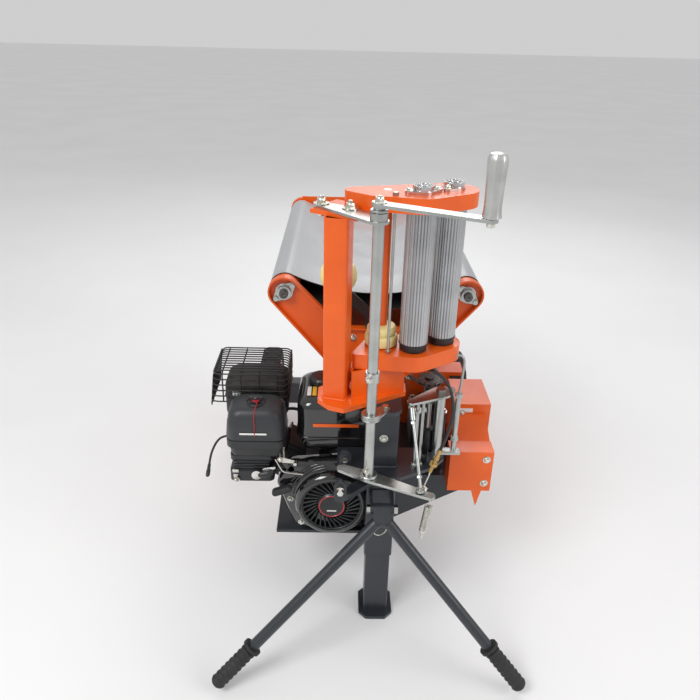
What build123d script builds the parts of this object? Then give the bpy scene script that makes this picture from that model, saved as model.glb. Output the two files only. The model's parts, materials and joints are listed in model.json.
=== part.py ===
"""Mini round-bale wrapping machine: turning roller table, film unit, control linkage, engine, wheels.

Frame: millimetres, +Z up, +X to the right and -Y towards the operator. The origin is on the ground
under the axis that the roller table turns about.
"""

import math
import os

from build123d import *

os.makedirs("parts", exist_ok=True)

# ---- clearances ----
RUN = 0.05  # radial clearance of a shaft in its bearing
SOFT = 0.3  # gap between curved faces that only touch on the real machine
HOLE = 0.5  # radial clearance of a bolt or shaft in a plain hole

# ---- roller table ----
ROLLER_Z = 755.0
ROLLER_X = 215.0
ROLLER_R = 34.0
ROLLER_HALF = 362.0
ROLLER_SHAFT_R = 10.0
BELT_T = 2.2
BELT_HALF = 350.0
BELT_LEAVE_TOP = 25.0  # degrees past the top where the upper run leaves a roller
BELT_LEAVE_LOW = 8.0
END_WEB_Y = 375.0  # outer face of an end plate's web
END_T = 5.0
END_LIP = 15.0
END_LIP_T = 4.0
ARM_R = 38.0
V_FOOT_X = 85.0
V_FOOT_Z = 538.0
V_NECK_X = 80.0
V_NECK_Z = 667.0
CORNER_R = 6.0
TRAY_T = 2.5
TRAY_X = 176.0
TRAY_TOP_Z = 692.0
TRAY_FLAT_X = 84.0
TRAY_Z = 604.0
SPINE_W = 120.0
SPINE_LOW = 538.0
BEARING_T = 18.0
BEARING_R = 19.0
BEARING_PITCH = 25.5
BEARING_EAR_R = 7.0

# ---- turntable ----
DECK_Z = 480.0  # top of the pedestal tube
FLANGE_T = 10.0
RING_T = 14.0
RING_R = 90.0
RING_BORE = 60.0
PEDESTAL_R = 55.0
PIVOT_R = 20.0

# ---- chassis ----
LEG_X = 16.0
LEG_Y = -604.0
COLUMN_W = 65.0
LEG_W = 58.0
SLIDE_GAP = 0.1
TUBE_T = 3.0
SLEEVE_LOW = 190.0
GUSSET_Z = 445.0
GUSSET_T = 8.0
CAP_Z = 608.0
CAP_T = 8.0
LEG_TRAVEL = 80.0
LEG_TOP = 340.0
FOOT_T = 8.0
FOOT_W = 82.0
BEAM_W = 60.0
BEAM_H = 60.0
AXLE_Y = 220.0
AXLE_Z = 150.0
AXLE_R = 10.0
WHEEL_X = 315.0
WHEEL_R = 150.0
WHEEL_W = 60.0
RIM_R = 98.0

# ---- pull handles ----
YOKE_Y = -690.0
YOKE_Z = 372.0
YOKE_R = 12.0
HANDLE_R = 12.5
GRIP_R = 16.5
HANDLE_END_X = 335.0
HANDLE_END_Y = -856.0
HANDLE_END_Z = 20.0
HANDLE_MID_X = -6.0

# ---- film unit ----
POST_X = -88.0
POST_Y = -618.0
POST_W = 48.0
POST_TURN = -14.0
BASE_T = 10.0
POST_TOP = 1002.0
HEAD_T = 8.0
HEAD_TURN = -33.0
LOW_ARM_Z = 712.0
LOW_ARM_DEPTH = 34.0
ARM_T = 6.0
TOP_ARM_DEPTH = 30.0
ARM_LIP_T = 4.0
FILM_A = (71.0, -585.0)
FILM_B = (134.0, -545.0)
FILM_R = 30.0
FILM_BORE = 26.0
FILM_SHAFT_R = 8.0
FILM_GAP = 4.0
FILM_FLUTES = 30
LOW_BEARING_T = 12.0
TOP_BEARING_T = 14.0
SPINDLE = (5.0, -562.0)
SPINDLE_R = 11.0
CONE_R = 35.0
CONE_H = 44.0
TIE = (17.0, -608.0)
TIE_R = 3.0
STRETCH = 1.3  # how much faster the second film roller turns

# ---- control linkage ----
SHAFT = (-17.0, -692.0)
SHAFT_R = 10.65
LEVER_TURN = -27.0
LEVER_Z = 456.0
LEVER_T = 6.0
LEVER_RIGHT = 140.0
LEVER_LEFT = 62.0
LINK_REACH = 118.0
CRANK_Z = 1040.0
CRANK_REACH = 200.0
LUG_T = 5.0
PLATE_T = 5.0
PIVOT_POST = (137.0, -600.0)
LINK_TOP = (70.0, -642.0)
INDICATOR_Z = 612.0

# ---- engine ----
CRANK_X = -95.0
CRANK_AXIS_Z = 308.0
ENGINE_BASE = 202.0
RECOIL_Y = -575.0
ENGINE_BACK = -330.0
HEAD_Y = -452.0  # middle of the cylinder head along the crank
PTO_R = 10.0
ENGINE_PULLEY_R = 36.0
DRIVEN_X = 150.0
DRIVEN_Z = 380.0
DRIVEN_R = 56.0
PULLEY_Y = -238.0
PULLEY_T = 18.0
GEARBOX_Y = -330.0
SPROCKET_R = 30.0


def at_y(y):
    """Plane across the machine at y: local x is +X, local y is +Z, extrusions go towards the operator."""
    return Plane.XZ.offset(-y)


def at_x(x):
    """Plane along the machine at x: local x is +Y, local y is +Z, extrusions go to +X."""
    return Plane.YZ.offset(x)


def around(discs):
    """Outline drawn tightly round discs given as (x, y, radius)."""
    with BuildSketch() as outline:
        for x, y, radius in discs:
            with Locations((x, y)):
                Circle(radius)
        make_hull()
    return outline.sketch_local


def polar(origin, reach, turn):
    """Point at a distance and an angle in degrees from an origin in plan."""
    angle = math.radians(turn)
    return (origin[0] + reach * math.cos(angle), origin[1] + reach * math.sin(angle))


# ================= roller table =================
def v_outline():
    """Outline of an end plate: two arms that end round the roller axes, and a flat foot between."""
    with BuildSketch() as outline:
        for side in (-1, 1):
            foot = (side * (V_FOOT_X - CORNER_R), V_FOOT_Z + CORNER_R, CORNER_R)
            neck = (side * V_NECK_X, V_NECK_Z - CORNER_R, CORNER_R)
            add(around([(side * ROLLER_X, ROLLER_Z, ARM_R), foot, neck]))
        with Locations((0, (V_FOOT_Z + V_NECK_Z) / 2)):
            Rectangle(2 * (V_FOOT_X - CORNER_R), V_NECK_Z - V_FOOT_Z)
    return outline.sketch_local


def end_plate(side):
    """One fabricated end plate with its edge folded outwards, at the front (-1) or the rear (1)."""
    inner = side * (END_WEB_Y - END_T)
    with BuildPart() as plate:
        with BuildSketch(at_y(inner)):
            add(v_outline())
        extrude(amount=-side * (END_T + END_LIP))
        with BuildSketch(at_y(side * END_WEB_Y)):
            add(v_outline())
            offset(amount=-END_LIP_T, mode=Mode.REPLACE)
        extrude(amount=-side * END_LIP, mode=Mode.SUBTRACT)
        with BuildSketch(at_y(inner)):
            with Locations((-ROLLER_X, ROLLER_Z), (ROLLER_X, ROLLER_Z)):
                Circle(ROLLER_SHAFT_R + 4)
        extrude(amount=-side * END_T, mode=Mode.SUBTRACT)
        if side > 0:
            stop_z = ROLLER_Z + ARM_R + 6
            with BuildSketch(at_y(inner)):
                with Locations((0, stop_z - 14)):
                    Rectangle(2 * ROLLER_X, 28)
            extrude(amount=-END_T)
    return plate.part


end_plates = Compound(label="end_plates", children=[end_plate(-1), end_plate(1)])
export_step(end_plates, "parts/end_plates.step")

with BuildPart() as table_spine:
    with BuildSketch(Plane.XY.offset(SPINE_LOW)):
        Rectangle(SPINE_W, 2 * (END_WEB_Y - END_T))
    extrude(amount=TRAY_Z - TRAY_T - SPINE_LOW)
    with BuildSketch(at_y(END_WEB_Y)):
        with Locations((0, (SPINE_LOW + TRAY_Z - TRAY_T) / 2)):
            Rectangle(SPINE_W - 2 * END_T, TRAY_Z - TRAY_T - SPINE_LOW - 2 * END_T)
    extrude(amount=2 * END_WEB_Y, mode=Mode.SUBTRACT)
    with BuildSketch(Plane.XY.offset(SPINE_LOW)):
        Circle(PIVOT_R + HOLE)
    extrude(amount=2 * END_T, mode=Mode.SUBTRACT)

with BuildPart() as table_tray:
    with BuildSketch(at_y(END_WEB_Y - END_T)):
        with BuildLine():
            Polyline(
                (-TRAY_X, TRAY_TOP_Z),
                (-TRAY_FLAT_X, TRAY_Z),
                (TRAY_FLAT_X, TRAY_Z),
                (TRAY_X, TRAY_TOP_Z),
                (TRAY_X, TRAY_TOP_Z - TRAY_T * 1.4),
                (TRAY_FLAT_X + TRAY_T / 2, TRAY_Z - TRAY_T),
                (-TRAY_FLAT_X - TRAY_T / 2, TRAY_Z - TRAY_T),
                (-TRAY_X, TRAY_TOP_Z - TRAY_T * 1.4),
                close=True,
            )
        make_face()
    extrude(amount=2 * (END_WEB_Y - END_T))


def table_roller(x):
    """Steel roller tube closed by end discs, on its through shaft."""
    shaft_half = END_WEB_Y + BEARING_T + 6
    with BuildPart() as roller:
        with BuildSketch(at_y(ROLLER_HALF)):
            with Locations((x, ROLLER_Z)):
                Circle(ROLLER_R)
        extrude(amount=2 * ROLLER_HALF)
        with BuildSketch(at_y(ROLLER_HALF - 2 * END_T)):
            with Locations((x, ROLLER_Z)):
                Circle(ROLLER_R - TUBE_T)
                Circle(ROLLER_SHAFT_R, mode=Mode.SUBTRACT)
        extrude(amount=2 * (ROLLER_HALF - 2 * END_T), mode=Mode.SUBTRACT)
        with BuildSketch(at_y(shaft_half)):
            with Locations((x, ROLLER_Z)):
                Circle(ROLLER_SHAFT_R)
        extrude(amount=2 * shaft_half)
    return roller.part


for x, name in ((-ROLLER_X, "table_roller_left"), (ROLLER_X, "table_roller_right")):
    piece = table_roller(x)
    piece.label = name
    export_step(piece, f"parts/{name}.step")

BEARING_TURN = {-1: 40.0, 1: -40.0}
with BuildPart() as table_bearings:
    for side in (-1, 1):
        for x_side in (-1, 1):
            bolt_angle = math.radians(BEARING_TURN[x_side])
            reach_x = BEARING_PITCH * math.cos(bolt_angle)
            reach_z = BEARING_PITCH * math.sin(bolt_angle)
            centre_x = x_side * ROLLER_X
            plane = at_y(side * END_WEB_Y)
            with BuildSketch(plane):
                add(
                    around(
                        [
                            (centre_x, ROLLER_Z, BEARING_R),
                            (centre_x + reach_x, ROLLER_Z + reach_z, BEARING_EAR_R),
                            (centre_x - reach_x, ROLLER_Z - reach_z, BEARING_EAR_R),
                        ]
                    )
                )
            extrude(amount=-side * BEARING_T * 0.45)
            with BuildSketch(plane):
                with Locations((centre_x, ROLLER_Z)):
                    Circle(BEARING_R * 0.86)
            extrude(amount=-side * BEARING_T)
            with BuildSketch(plane):
                with Locations((centre_x, ROLLER_Z)):
                    Circle(ROLLER_SHAFT_R + RUN)
            extrude(amount=-side * BEARING_T, mode=Mode.SUBTRACT)
    for side in (-1, 1):
        for x_side in (-1, 1):
            bolt_angle = math.radians(BEARING_TURN[x_side])
            for way in (-1, 1):
                place = (
                    x_side * ROLLER_X + way * BEARING_PITCH * math.cos(bolt_angle),
                    ROLLER_Z + way * BEARING_PITCH * math.sin(bolt_angle),
                )
                with BuildSketch(at_y(side * (END_WEB_Y + BEARING_T * 0.45))):
                    with Locations(place):
                        RegularPolygon(5.5, 6, major_radius=False)
                extrude(amount=-side * 6)
table_bearings.part.label = "table_bearings"
export_step(table_bearings.part, "parts/table_bearings.step")


def belt_loop(radius):
    """Closed outline of the belt round both rollers at one radius, each run an arc tangent to them."""
    leave_top = math.radians(BELT_LEAVE_TOP)
    leave_low = math.radians(BELT_LEAVE_LOW)
    top_x = ROLLER_X - radius * math.sin(leave_top)
    top_z = ROLLER_Z + radius * math.cos(leave_top)
    low_x = ROLLER_X + radius * math.sin(leave_low)
    low_z = ROLLER_Z - radius * math.cos(leave_low)
    top_mid = (0, top_z - top_x * math.tan(leave_top / 2))
    low_mid = (0, low_z - low_x * math.tan(leave_low / 2))
    with BuildSketch() as loop:
        with BuildLine():
            ThreePointArc((-top_x, top_z), top_mid, (top_x, top_z))
            ThreePointArc((top_x, top_z), (ROLLER_X + radius, ROLLER_Z), (low_x, low_z))
            ThreePointArc((low_x, low_z), low_mid, (-low_x, low_z))
            ThreePointArc((-low_x, low_z), (-ROLLER_X - radius, ROLLER_Z), (-top_x, top_z))
        make_face()
    return loop.sketch_local


BELT_IN = ROLLER_R + SOFT
with BuildPart() as bale_belt:
    with BuildSketch(at_y(BELT_HALF)):
        add(belt_loop(BELT_IN + BELT_T))
        add(belt_loop(BELT_IN), mode=Mode.SUBTRACT)
    extrude(amount=2 * BELT_HALF)
bale_belt.part.label = "bale_belt"
export_step(bale_belt.part, "parts/bale_belt.step")

with BuildPart() as table_frame:
    add(table_spine.part)
    add(table_tray.part)
table_frame.part.label = "table_frame"
export_step(table_frame.part, "parts/table_frame.step")

# end stop: a nylon roller on a flat arm, set by a threaded rod through the front plate
STOP_FOOT = (-10.0, 704.0)
STOP_ROLLER = (-88.0, 776.0)
STOP_Y = END_WEB_Y + END_LIP + 34
STOP_ARM_Y = END_WEB_Y + END_LIP
STOP_ARM_W = 24.0
STOP_ROLLER_R = 42.0
STOP_ROLLER_H = 50.0
STOP_PIN_R = 8.0
STOP_LOW = STOP_ROLLER[1] + STOP_ARM_W / 2 + 1
with BuildPart() as end_stop_arm:
    with BuildSketch(at_y(-STOP_ARM_Y)):
        add(around([(*STOP_FOOT, STOP_ARM_W / 2), (*STOP_ROLLER, STOP_ARM_W / 2)]))
    extrude(amount=END_T)
    with BuildSketch(at_y(-END_WEB_Y)):
        with Locations((STOP_FOOT[0], (STOP_FOOT[1] + V_NECK_Z) / 2)):
            Rectangle(STOP_ARM_W, STOP_FOOT[1] - V_NECK_Z)
        with Locations(STOP_FOOT):
            Circle(STOP_ARM_W / 2)
    extrude(amount=END_LIP)
    with BuildSketch(Plane.XY.offset(STOP_ROLLER[1])):
        with Locations((STOP_ROLLER[0], -(STOP_Y + STOP_ARM_Y) / 2)):
            Rectangle(STOP_ARM_W, STOP_Y - STOP_ARM_Y)
        with Locations((STOP_ROLLER[0], -STOP_Y)):
            Circle(STOP_ARM_W / 2)
    extrude(amount=END_T)
    with BuildSketch(Plane.XY.offset(STOP_ROLLER[1])):
        with Locations((STOP_ROLLER[0], -STOP_Y)):
            Circle(STOP_PIN_R)
    extrude(amount=STOP_LOW + STOP_ROLLER_H + END_T - STOP_ROLLER[1])
end_stop_arm.part.label = "end_stop_arm"
export_step(end_stop_arm.part, "parts/end_stop_arm.step")

with BuildPart() as end_stop_roller:
    with BuildSketch(Plane.XY.offset(STOP_LOW)):
        with Locations((STOP_ROLLER[0], -STOP_Y)):
            Circle(STOP_ROLLER_R)
    extrude(amount=STOP_ROLLER_H)
    fillet(end_stop_roller.edges().filter_by(GeomType.CIRCLE), radius=STOP_ROLLER_H * 0.3)
    with BuildSketch(Plane.XY.offset(STOP_LOW)):
        with Locations((STOP_ROLLER[0], -STOP_Y)):
            Circle(STOP_PIN_R + RUN)
    extrude(amount=STOP_ROLLER_H, mode=Mode.SUBTRACT)
end_stop_roller.part.label = "end_stop_roller"
export_step(end_stop_roller.part, "parts/end_stop_roller.step")

# ================= turntable =================
with BuildPart() as pedestal:
    with BuildSketch(Plane.XY.offset(SLEEVE_LOW + BEAM_H)):
        Circle(PEDESTAL_R)
        Circle(PEDESTAL_R - 2 * TUBE_T, mode=Mode.SUBTRACT)
    extrude(amount=DECK_Z - FLANGE_T - SLEEVE_LOW - BEAM_H)
    with BuildSketch(Plane.XY.offset(DECK_Z - FLANGE_T)):
        Circle(RING_R - 8)
        Circle(PIVOT_R + RUN, mode=Mode.SUBTRACT)
    extrude(amount=FLANGE_T)

RING_Z = DECK_Z + RING_T
with BuildPart() as slewing_ring_fixed:
    with BuildSketch(Plane.XY.offset(DECK_Z)):
        Circle(RING_R - 12)
        Circle(RING_BORE, mode=Mode.SUBTRACT)
    extrude(amount=RING_T)

TABLE_RING_Z = RING_Z + RUN * 2
with BuildPart() as table_sprocket:
    with BuildSketch(Plane.XY.offset(TABLE_RING_Z)):
        Circle(RING_R)
        Circle(RING_BORE, mode=Mode.SUBTRACT)
        with PolarLocations(RING_R + 1.5, 36):
            Circle(4.2, mode=Mode.SUBTRACT)
    extrude(amount=RING_T)

with BuildPart() as table_hub:
    with BuildSketch(Plane.XY.offset(TABLE_RING_Z + RING_T)):
        Circle(RING_R - 10)
    extrude(amount=SPINE_LOW - TABLE_RING_Z - RING_T)
    with BuildSketch(Plane.XY.offset(DECK_Z - 6 * FLANGE_T)):
        Circle(PIVOT_R)
    extrude(amount=SPINE_LOW - DECK_Z + 6 * FLANGE_T)

with BuildPart() as turntable_hub:
    add(table_sprocket.part)
    add(table_hub.part)
turntable_hub.part.label = "turntable_hub"
export_step(turntable_hub.part, "parts/turntable_hub.step")

# ================= chassis =================
COLUMN_BACK = LEG_Y + COLUMN_W / 2
COLUMN_FRONT = LEG_Y - COLUMN_W / 2
SLEEVE_IN = LEG_W + 2 * SLIDE_GAP
with BuildPart() as leg_sleeve:
    with BuildSketch(Plane.XY.offset(SLEEVE_LOW)):
        with Locations((LEG_X, LEG_Y)):
            RectangleRounded(COLUMN_W, COLUMN_W, 5)
            RectangleRounded(SLEEVE_IN, SLEEVE_IN, 2, mode=Mode.SUBTRACT)
    extrude(amount=GUSSET_Z - GUSSET_T - SLEEVE_LOW)
    with BuildSketch(at_y(COLUMN_FRONT)):
        with Locations((LEG_X, YOKE_Z - 62)):
            Circle(6 + RUN)
    extrude(amount=-COLUMN_W / 4, mode=Mode.SUBTRACT)

with BuildPart() as gusset_plate:
    with BuildSketch(Plane.XY.offset(GUSSET_Z - GUSSET_T)):
        with BuildLine():
            Polyline(
                (-84, -560), (-84, -640), (-50, -652), (-28, -676), (52, -676), (128, -634), (156, -600), (156, -560),
                close=True,
            )
        make_face()
    extrude(amount=GUSSET_T)
    with BuildSketch(at_y(-634)):
        add(around([(-66, GUSSET_Z + 26, 13), (-66, GUSSET_Z - 2, 13)]))
    extrude(amount=-7)

with BuildPart() as column_tube:
    with BuildSketch(Plane.XY.offset(GUSSET_Z)):
        with Locations((LEG_X, LEG_Y)):
            RectangleRounded(COLUMN_W, COLUMN_W, 5)
            RectangleRounded(COLUMN_W - 2 * TUBE_T, COLUMN_W - 2 * TUBE_T, 2, mode=Mode.SUBTRACT)
    extrude(amount=CAP_Z - CAP_T - GUSSET_Z)
    with BuildSketch(Plane.XY.offset(CAP_Z - CAP_T)):
        with Locations((LEG_X, LEG_Y - 16)):
            Rectangle(COLUMN_W + 2, COLUMN_W + 48)
    extrude(amount=CAP_T)
    fillet(
        column_tube.edges().filter_by(Axis.Z).group_by(Axis.Z)[-1].sort_by(lambda e: e.center().Y - e.center().X)[0],
        radius=24,
    )

with BuildPart() as main_beam:
    with BuildSketch(at_y(COLUMN_BACK)):
        with Locations((LEG_X, SLEEVE_LOW + BEAM_H / 2)):
            RectangleRounded(BEAM_W, BEAM_H, 5)
            RectangleRounded(BEAM_W - 2 * TUBE_T, BEAM_H - 2 * TUBE_T, 2, mode=Mode.SUBTRACT)
    extrude(amount=COLUMN_BACK - AXLE_Y - BEAM_W / 2)

AXLE_BEAM_H = 2 * (SLEEVE_LOW - AXLE_Z)
AXLE_BEAM_HALF = WHEEL_X - WHEEL_W / 2 - 18
with BuildPart() as axle_beam:
    with BuildSketch(at_x(-AXLE_BEAM_HALF)):
        with Locations((AXLE_Y, AXLE_Z)):
            RectangleRounded(50, AXLE_BEAM_H, 5)
            Circle(AXLE_R + RUN, mode=Mode.SUBTRACT)
    extrude(amount=2 * AXLE_BEAM_HALF)

with BuildPart() as engine_deck:
    with BuildSketch(Plane.XY.offset(ENGINE_BASE - 8)):
        with Locations(((LEG_X - BEAM_W / 2 - 230) / 2, -440)):
            Rectangle(230 + LEG_X - BEAM_W / 2, 250)
        with Locations((CRANK_X, -440)):
            with GridLocations(160, 190, 2, 2):
                SlotOverall(24, 9, mode=Mode.SUBTRACT)
    extrude(amount=8)

OUT_Y = -500.0
OUT_TOP = 330.0
with BuildPart() as outrigger:
    with BuildSketch(at_y(OUT_Y)):
        with BuildLine():
            Polyline(
                (LEG_X + BEAM_W / 2, SLEEVE_LOW), (240, 298), (240, OUT_TOP), (LEG_X + BEAM_W / 2, OUT_TOP), close=True
            )
        make_face()
    extrude(amount=8)
    with BuildSketch(Plane.XY.offset(OUT_TOP - 8)):
        with Locations(((LEG_X + BEAM_W / 2 + 240) / 2, OUT_Y + 120)):
            Rectangle(240 - LEG_X - BEAM_W / 2, 240)
    extrude(amount=8)

with BuildPart() as main_frame:
    add(main_beam.part)
    add(axle_beam.part)
    add(pedestal.part)
    add(slewing_ring_fixed.part)
main_frame.part.label = "main_frame"
export_step(main_frame.part, "parts/main_frame.step")

deck_plates = Compound(label="deck_plates", children=[engine_deck.part, outrigger.part])
export_step(deck_plates, "parts/deck_plates.step")

with BuildPart() as support_leg:
    with BuildSketch(Plane.XY.offset(FOOT_T)):
        with Locations((LEG_X, LEG_Y)):
            RectangleRounded(LEG_W, LEG_W, 4)
            RectangleRounded(LEG_W - 2 * TUBE_T, LEG_W - 2 * TUBE_T, 2, mode=Mode.SUBTRACT)
    extrude(amount=LEG_TOP - FOOT_T)
    with BuildSketch():
        with Locations((LEG_X, LEG_Y)):
            Rectangle(FOOT_W, FOOT_W + 18)
    extrude(amount=FOOT_T)
    chamfer(support_leg.edges().filter_by(Axis.Z).group_by(SortBy.LENGTH)[0], length=18)
    with BuildSketch(at_y(LEG_Y - LEG_W / 2)):
        with Locations((LEG_X, YOKE_Z - 62 - LEG_TRAVEL / 2)):
            SlotCenterToCenter(LEG_TRAVEL, 13, rotation=90)
    extrude(amount=-TUBE_T, mode=Mode.SUBTRACT)
support_leg.part.label = "support_leg"
export_step(support_leg.part, "parts/support_leg.step")

with BuildPart() as leg_lock_pin:
    with BuildSketch(at_y(LEG_Y - LEG_W / 2 + TUBE_T)):
        with Locations((LEG_X, YOKE_Z - 62)):
            Circle(6)
    extrude(amount=TUBE_T + 38)
    with BuildSketch(at_y(COLUMN_FRONT)):
        with Locations((LEG_X, YOKE_Z - 62)):
            RegularPolygon(11, 6)
    extrude(amount=12)
leg_lock_pin.part.label = "leg_lock_pin"
export_step(leg_lock_pin.part, "parts/leg_lock_pin.step")

# ---- pull handles ----
with BuildPart() as handle_yoke:
    with BuildSketch(at_x(LEG_X - 26)):
        with Locations(((YOKE_Y + COLUMN_FRONT) / 2, YOKE_Z)):
            Rectangle(COLUMN_FRONT - YOKE_Y, 2 * YOKE_R)
        with Locations((YOKE_Y, YOKE_Z)):
            Circle(YOKE_R)
            Circle(6 + RUN, mode=Mode.SUBTRACT)
    extrude(amount=52)
    with BuildSketch(at_x(LEG_X - 20)):
        with Locations(((YOKE_Y + COLUMN_FRONT) / 2 - 14, YOKE_Z)):
            Rectangle(COLUMN_FRONT - YOKE_Y + 22, 40)
    extrude(amount=40, mode=Mode.SUBTRACT)

with BuildPart() as yoke_bolt:
    with BuildSketch(at_x(LEG_X - 26)):
        with Locations((YOKE_Y, YOKE_Z)):
            Circle(6)
    extrude(amount=52)
    with BuildSketch(at_x(LEG_X + 26)):
        with Locations((YOKE_Y, YOKE_Z)):
            RegularPolygon(10, 6)
    extrude(amount=8)
    with BuildSketch(at_x(LEG_X - 34)):
        with Locations((YOKE_Y, YOKE_Z)):
            RegularPolygon(10, 6)
    extrude(amount=8)

HANDLE_ROOT = Vector(LEG_X, YOKE_Y - 24, YOKE_Z - 18)
TUBE_SPREAD = HANDLE_R + 0.5
GRIP_LENGTH = 118.0
EYE_R = 13.0
EYE_HALF = 19.5
grips = []
for side, name in ((-1, "left"), (1, "right")):
    tip = Vector(HANDLE_MID_X + side * HANDLE_END_X, HANDLE_END_Y, HANDLE_END_Z)
    start = HANDLE_ROOT + Vector(side * TUBE_SPREAD, 0, 0)
    way = (tip - start).normalized()
    reach = (tip - start).length
    grip_plane = Plane(origin=start + way * (reach - GRIP_LENGTH), z_dir=way)
    with BuildPart() as tube:
        with BuildSketch(Plane(origin=start, z_dir=way)):
            Circle(HANDLE_R)
        extrude(amount=reach - GRIP_R + HANDLE_R - 2)
        with BuildSketch(at_x(LEG_X)):
            with Locations((YOKE_Y, YOKE_Z)):
                Rectangle(6 * EYE_R, 10 * EYE_R)
        extrude(amount=-side * 2 * EYE_HALF, mode=Mode.SUBTRACT)
        with BuildSketch(at_x(LEG_X)):
            add(around([(YOKE_Y, YOKE_Z, EYE_R), (HANDLE_ROOT.Y, HANDLE_ROOT.Z, EYE_R - 3)]))
        extrude(amount=side * EYE_HALF)
        with BuildSketch(at_x(LEG_X)):
            with Locations((YOKE_Y, YOKE_Z)):
                Circle(6 + RUN)
        extrude(amount=side * EYE_HALF, mode=Mode.SUBTRACT)
    tube.part.label = f"handle_tube_{name}"
    export_step(tube.part, f"parts/handle_tube_{name}.step")
    with BuildPart() as grip:
        with BuildSketch(grip_plane):
            Circle(GRIP_R)
        extrude(amount=GRIP_LENGTH)
        with BuildSketch(grip_plane):
            Circle(GRIP_R + 5)
        extrude(amount=7)
        with BuildSketch(grip_plane):
            Circle(HANDLE_R + RUN)
        extrude(amount=GRIP_LENGTH - 6, mode=Mode.SUBTRACT)
    grips.append(grip.part)
handle_grips = Compound(label="handle_grips", children=grips)
export_step(handle_grips, "parts/handle_grips.step")

# ---- wheels ----
for side, name in ((-1, "left"), (1, "right")):
    hub_x = side * WHEEL_X
    with BuildPart() as tyre:
        with BuildSketch(at_x(hub_x - WHEEL_W / 2)):
            with Locations((AXLE_Y, AXLE_Z)):
                Circle(WHEEL_R)
        extrude(amount=WHEEL_W)
        fillet(tyre.edges().filter_by(GeomType.CIRCLE), radius=WHEEL_W * 0.3)
        with BuildSketch(at_x(hub_x - WHEEL_W / 2)):
            with Locations((AXLE_Y, AXLE_Z)):
                Circle(RIM_R)
        extrude(amount=WHEEL_W, mode=Mode.SUBTRACT)
    with BuildPart() as rim:
        with BuildSketch(at_x(hub_x - WHEEL_W / 2 + 4)):
            with Locations((AXLE_Y, AXLE_Z)):
                Circle(RIM_R)
                Circle(RIM_R - 4, mode=Mode.SUBTRACT)
        extrude(amount=WHEEL_W - 8)
        with BuildSketch(at_x(hub_x - 3)):
            with Locations((AXLE_Y, AXLE_Z)):
                Circle(RIM_R - 4)
                with PolarLocations(62, 5):
                    Circle(15, mode=Mode.SUBTRACT)
        extrude(amount=6)
        with BuildSketch(at_x(hub_x - WHEEL_W / 2)):
            with Locations((AXLE_Y, AXLE_Z)):
                Circle(24)
        extrude(amount=WHEEL_W)
        with BuildSketch(at_x(hub_x - WHEEL_W / 2)):
            with Locations((AXLE_Y, AXLE_Z)):
                Circle(AXLE_R + RUN)
        extrude(amount=WHEEL_W, mode=Mode.SUBTRACT)
    wheel = Compound(label=f"wheel_{name}", children=[rim.part, tyre.part])
    export_step(wheel, f"parts/wheel_{name}.step")

AXLE_HALF = WHEEL_X + WHEEL_W / 2 + 1
with BuildPart() as axle:
    with BuildSketch(at_x(-AXLE_HALF)):
        with Locations((AXLE_Y, AXLE_Z)):
            Circle(AXLE_R)
    extrude(amount=2 * AXLE_HALF)
    for side in (-1, 1):
        with BuildSketch(at_x(side * AXLE_HALF)):
            with Locations((AXLE_Y, AXLE_Z)):
                Circle(18)
        extrude(amount=side * 7)
        with BuildSketch(at_x(side * AXLE_BEAM_HALF)):
            with Locations((AXLE_Y, AXLE_Z)):
                Circle(17)
        extrude(amount=side * (WHEEL_X - WHEEL_W / 2 - AXLE_BEAM_HALF - 0.5))
axle.part.label = "axle"
export_step(axle.part, "parts/axle.step")

# ================= film unit =================
with BuildPart() as film_base:
    with BuildSketch(Plane.XY.offset(CAP_Z)):
        with BuildLine():
            Polyline(
                (-127, -640), (-127, -590), (-100, -566), (40, -552), (62, -566), (60, -604), (-73, -680), (-104, -668),
                close=True,
            )
        make_face()
    extrude(amount=BASE_T)
    with BuildSketch(Plane.XY.offset(CAP_Z + BASE_T)):
        with BuildLine():
            Polyline((-57, -632), (56, -596), (50, -560), (-57, -588), close=True)
        make_face()
        offset(amount=-5, mode=Mode.SUBTRACT)
    extrude(amount=LOW_ARM_Z - LOW_ARM_DEPTH - CAP_Z - BASE_T)

with BuildPart() as film_post:
    add(film_base.part)
    with BuildSketch(Plane.XY.offset(CAP_Z + BASE_T)):
        with Locations(Location((POST_X, POST_Y), POST_TURN)):
            RectangleRounded(POST_W, POST_W, 5)
            RectangleRounded(POST_W - 2 * TUBE_T, POST_W - 2 * TUBE_T, 2, mode=Mode.SUBTRACT)
    extrude(amount=POST_TOP - CAP_Z - BASE_T)
    with BuildSketch(Plane.XY.offset(POST_TOP)):
        with Locations(Location((-75, -592), HEAD_TURN)):
            Rectangle(104, 90)
    extrude(amount=HEAD_T)
film_post.part.label = "film_post"
export_step(film_post.part, "parts/film_post.step")


def arm_pan(outline, low, high, lip, plate):
    """Sheet arm with a flat top plate and its edge folded down all round, between two heights."""
    with BuildPart() as pan:
        with BuildSketch(Plane.XY.offset(low)):
            add(outline)
        extrude(amount=high - low)
        with BuildSketch(Plane.XY.offset(low)):
            add(outline)
            offset(amount=-lip, mode=Mode.REPLACE)
        extrude(amount=high - low - plate, mode=Mode.SUBTRACT)
    return pan


LOW_OUTLINE = around([(-46, -608, 10), (*TIE, 16), (*FILM_A, 44), (*FILM_B, 42), (SPINDLE[0], SPINDLE[1], 38)])
with BuildPart() as lower_arm:
    add(arm_pan(LOW_OUTLINE, LOW_ARM_Z - LOW_ARM_DEPTH, LOW_ARM_Z, ARM_LIP_T, ARM_T).part)
    with BuildSketch(Plane.XY.offset(LOW_ARM_Z)):
        with Locations(TIE):
            Circle(TIE_R + RUN)
        with Locations(SPINDLE):
            Circle(FILM_SHAFT_R + RUN)
    extrude(amount=-ARM_T, mode=Mode.SUBTRACT)
lower_arm.part.label = "lower_arm"
export_step(lower_arm.part, "parts/lower_arm.step")

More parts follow.
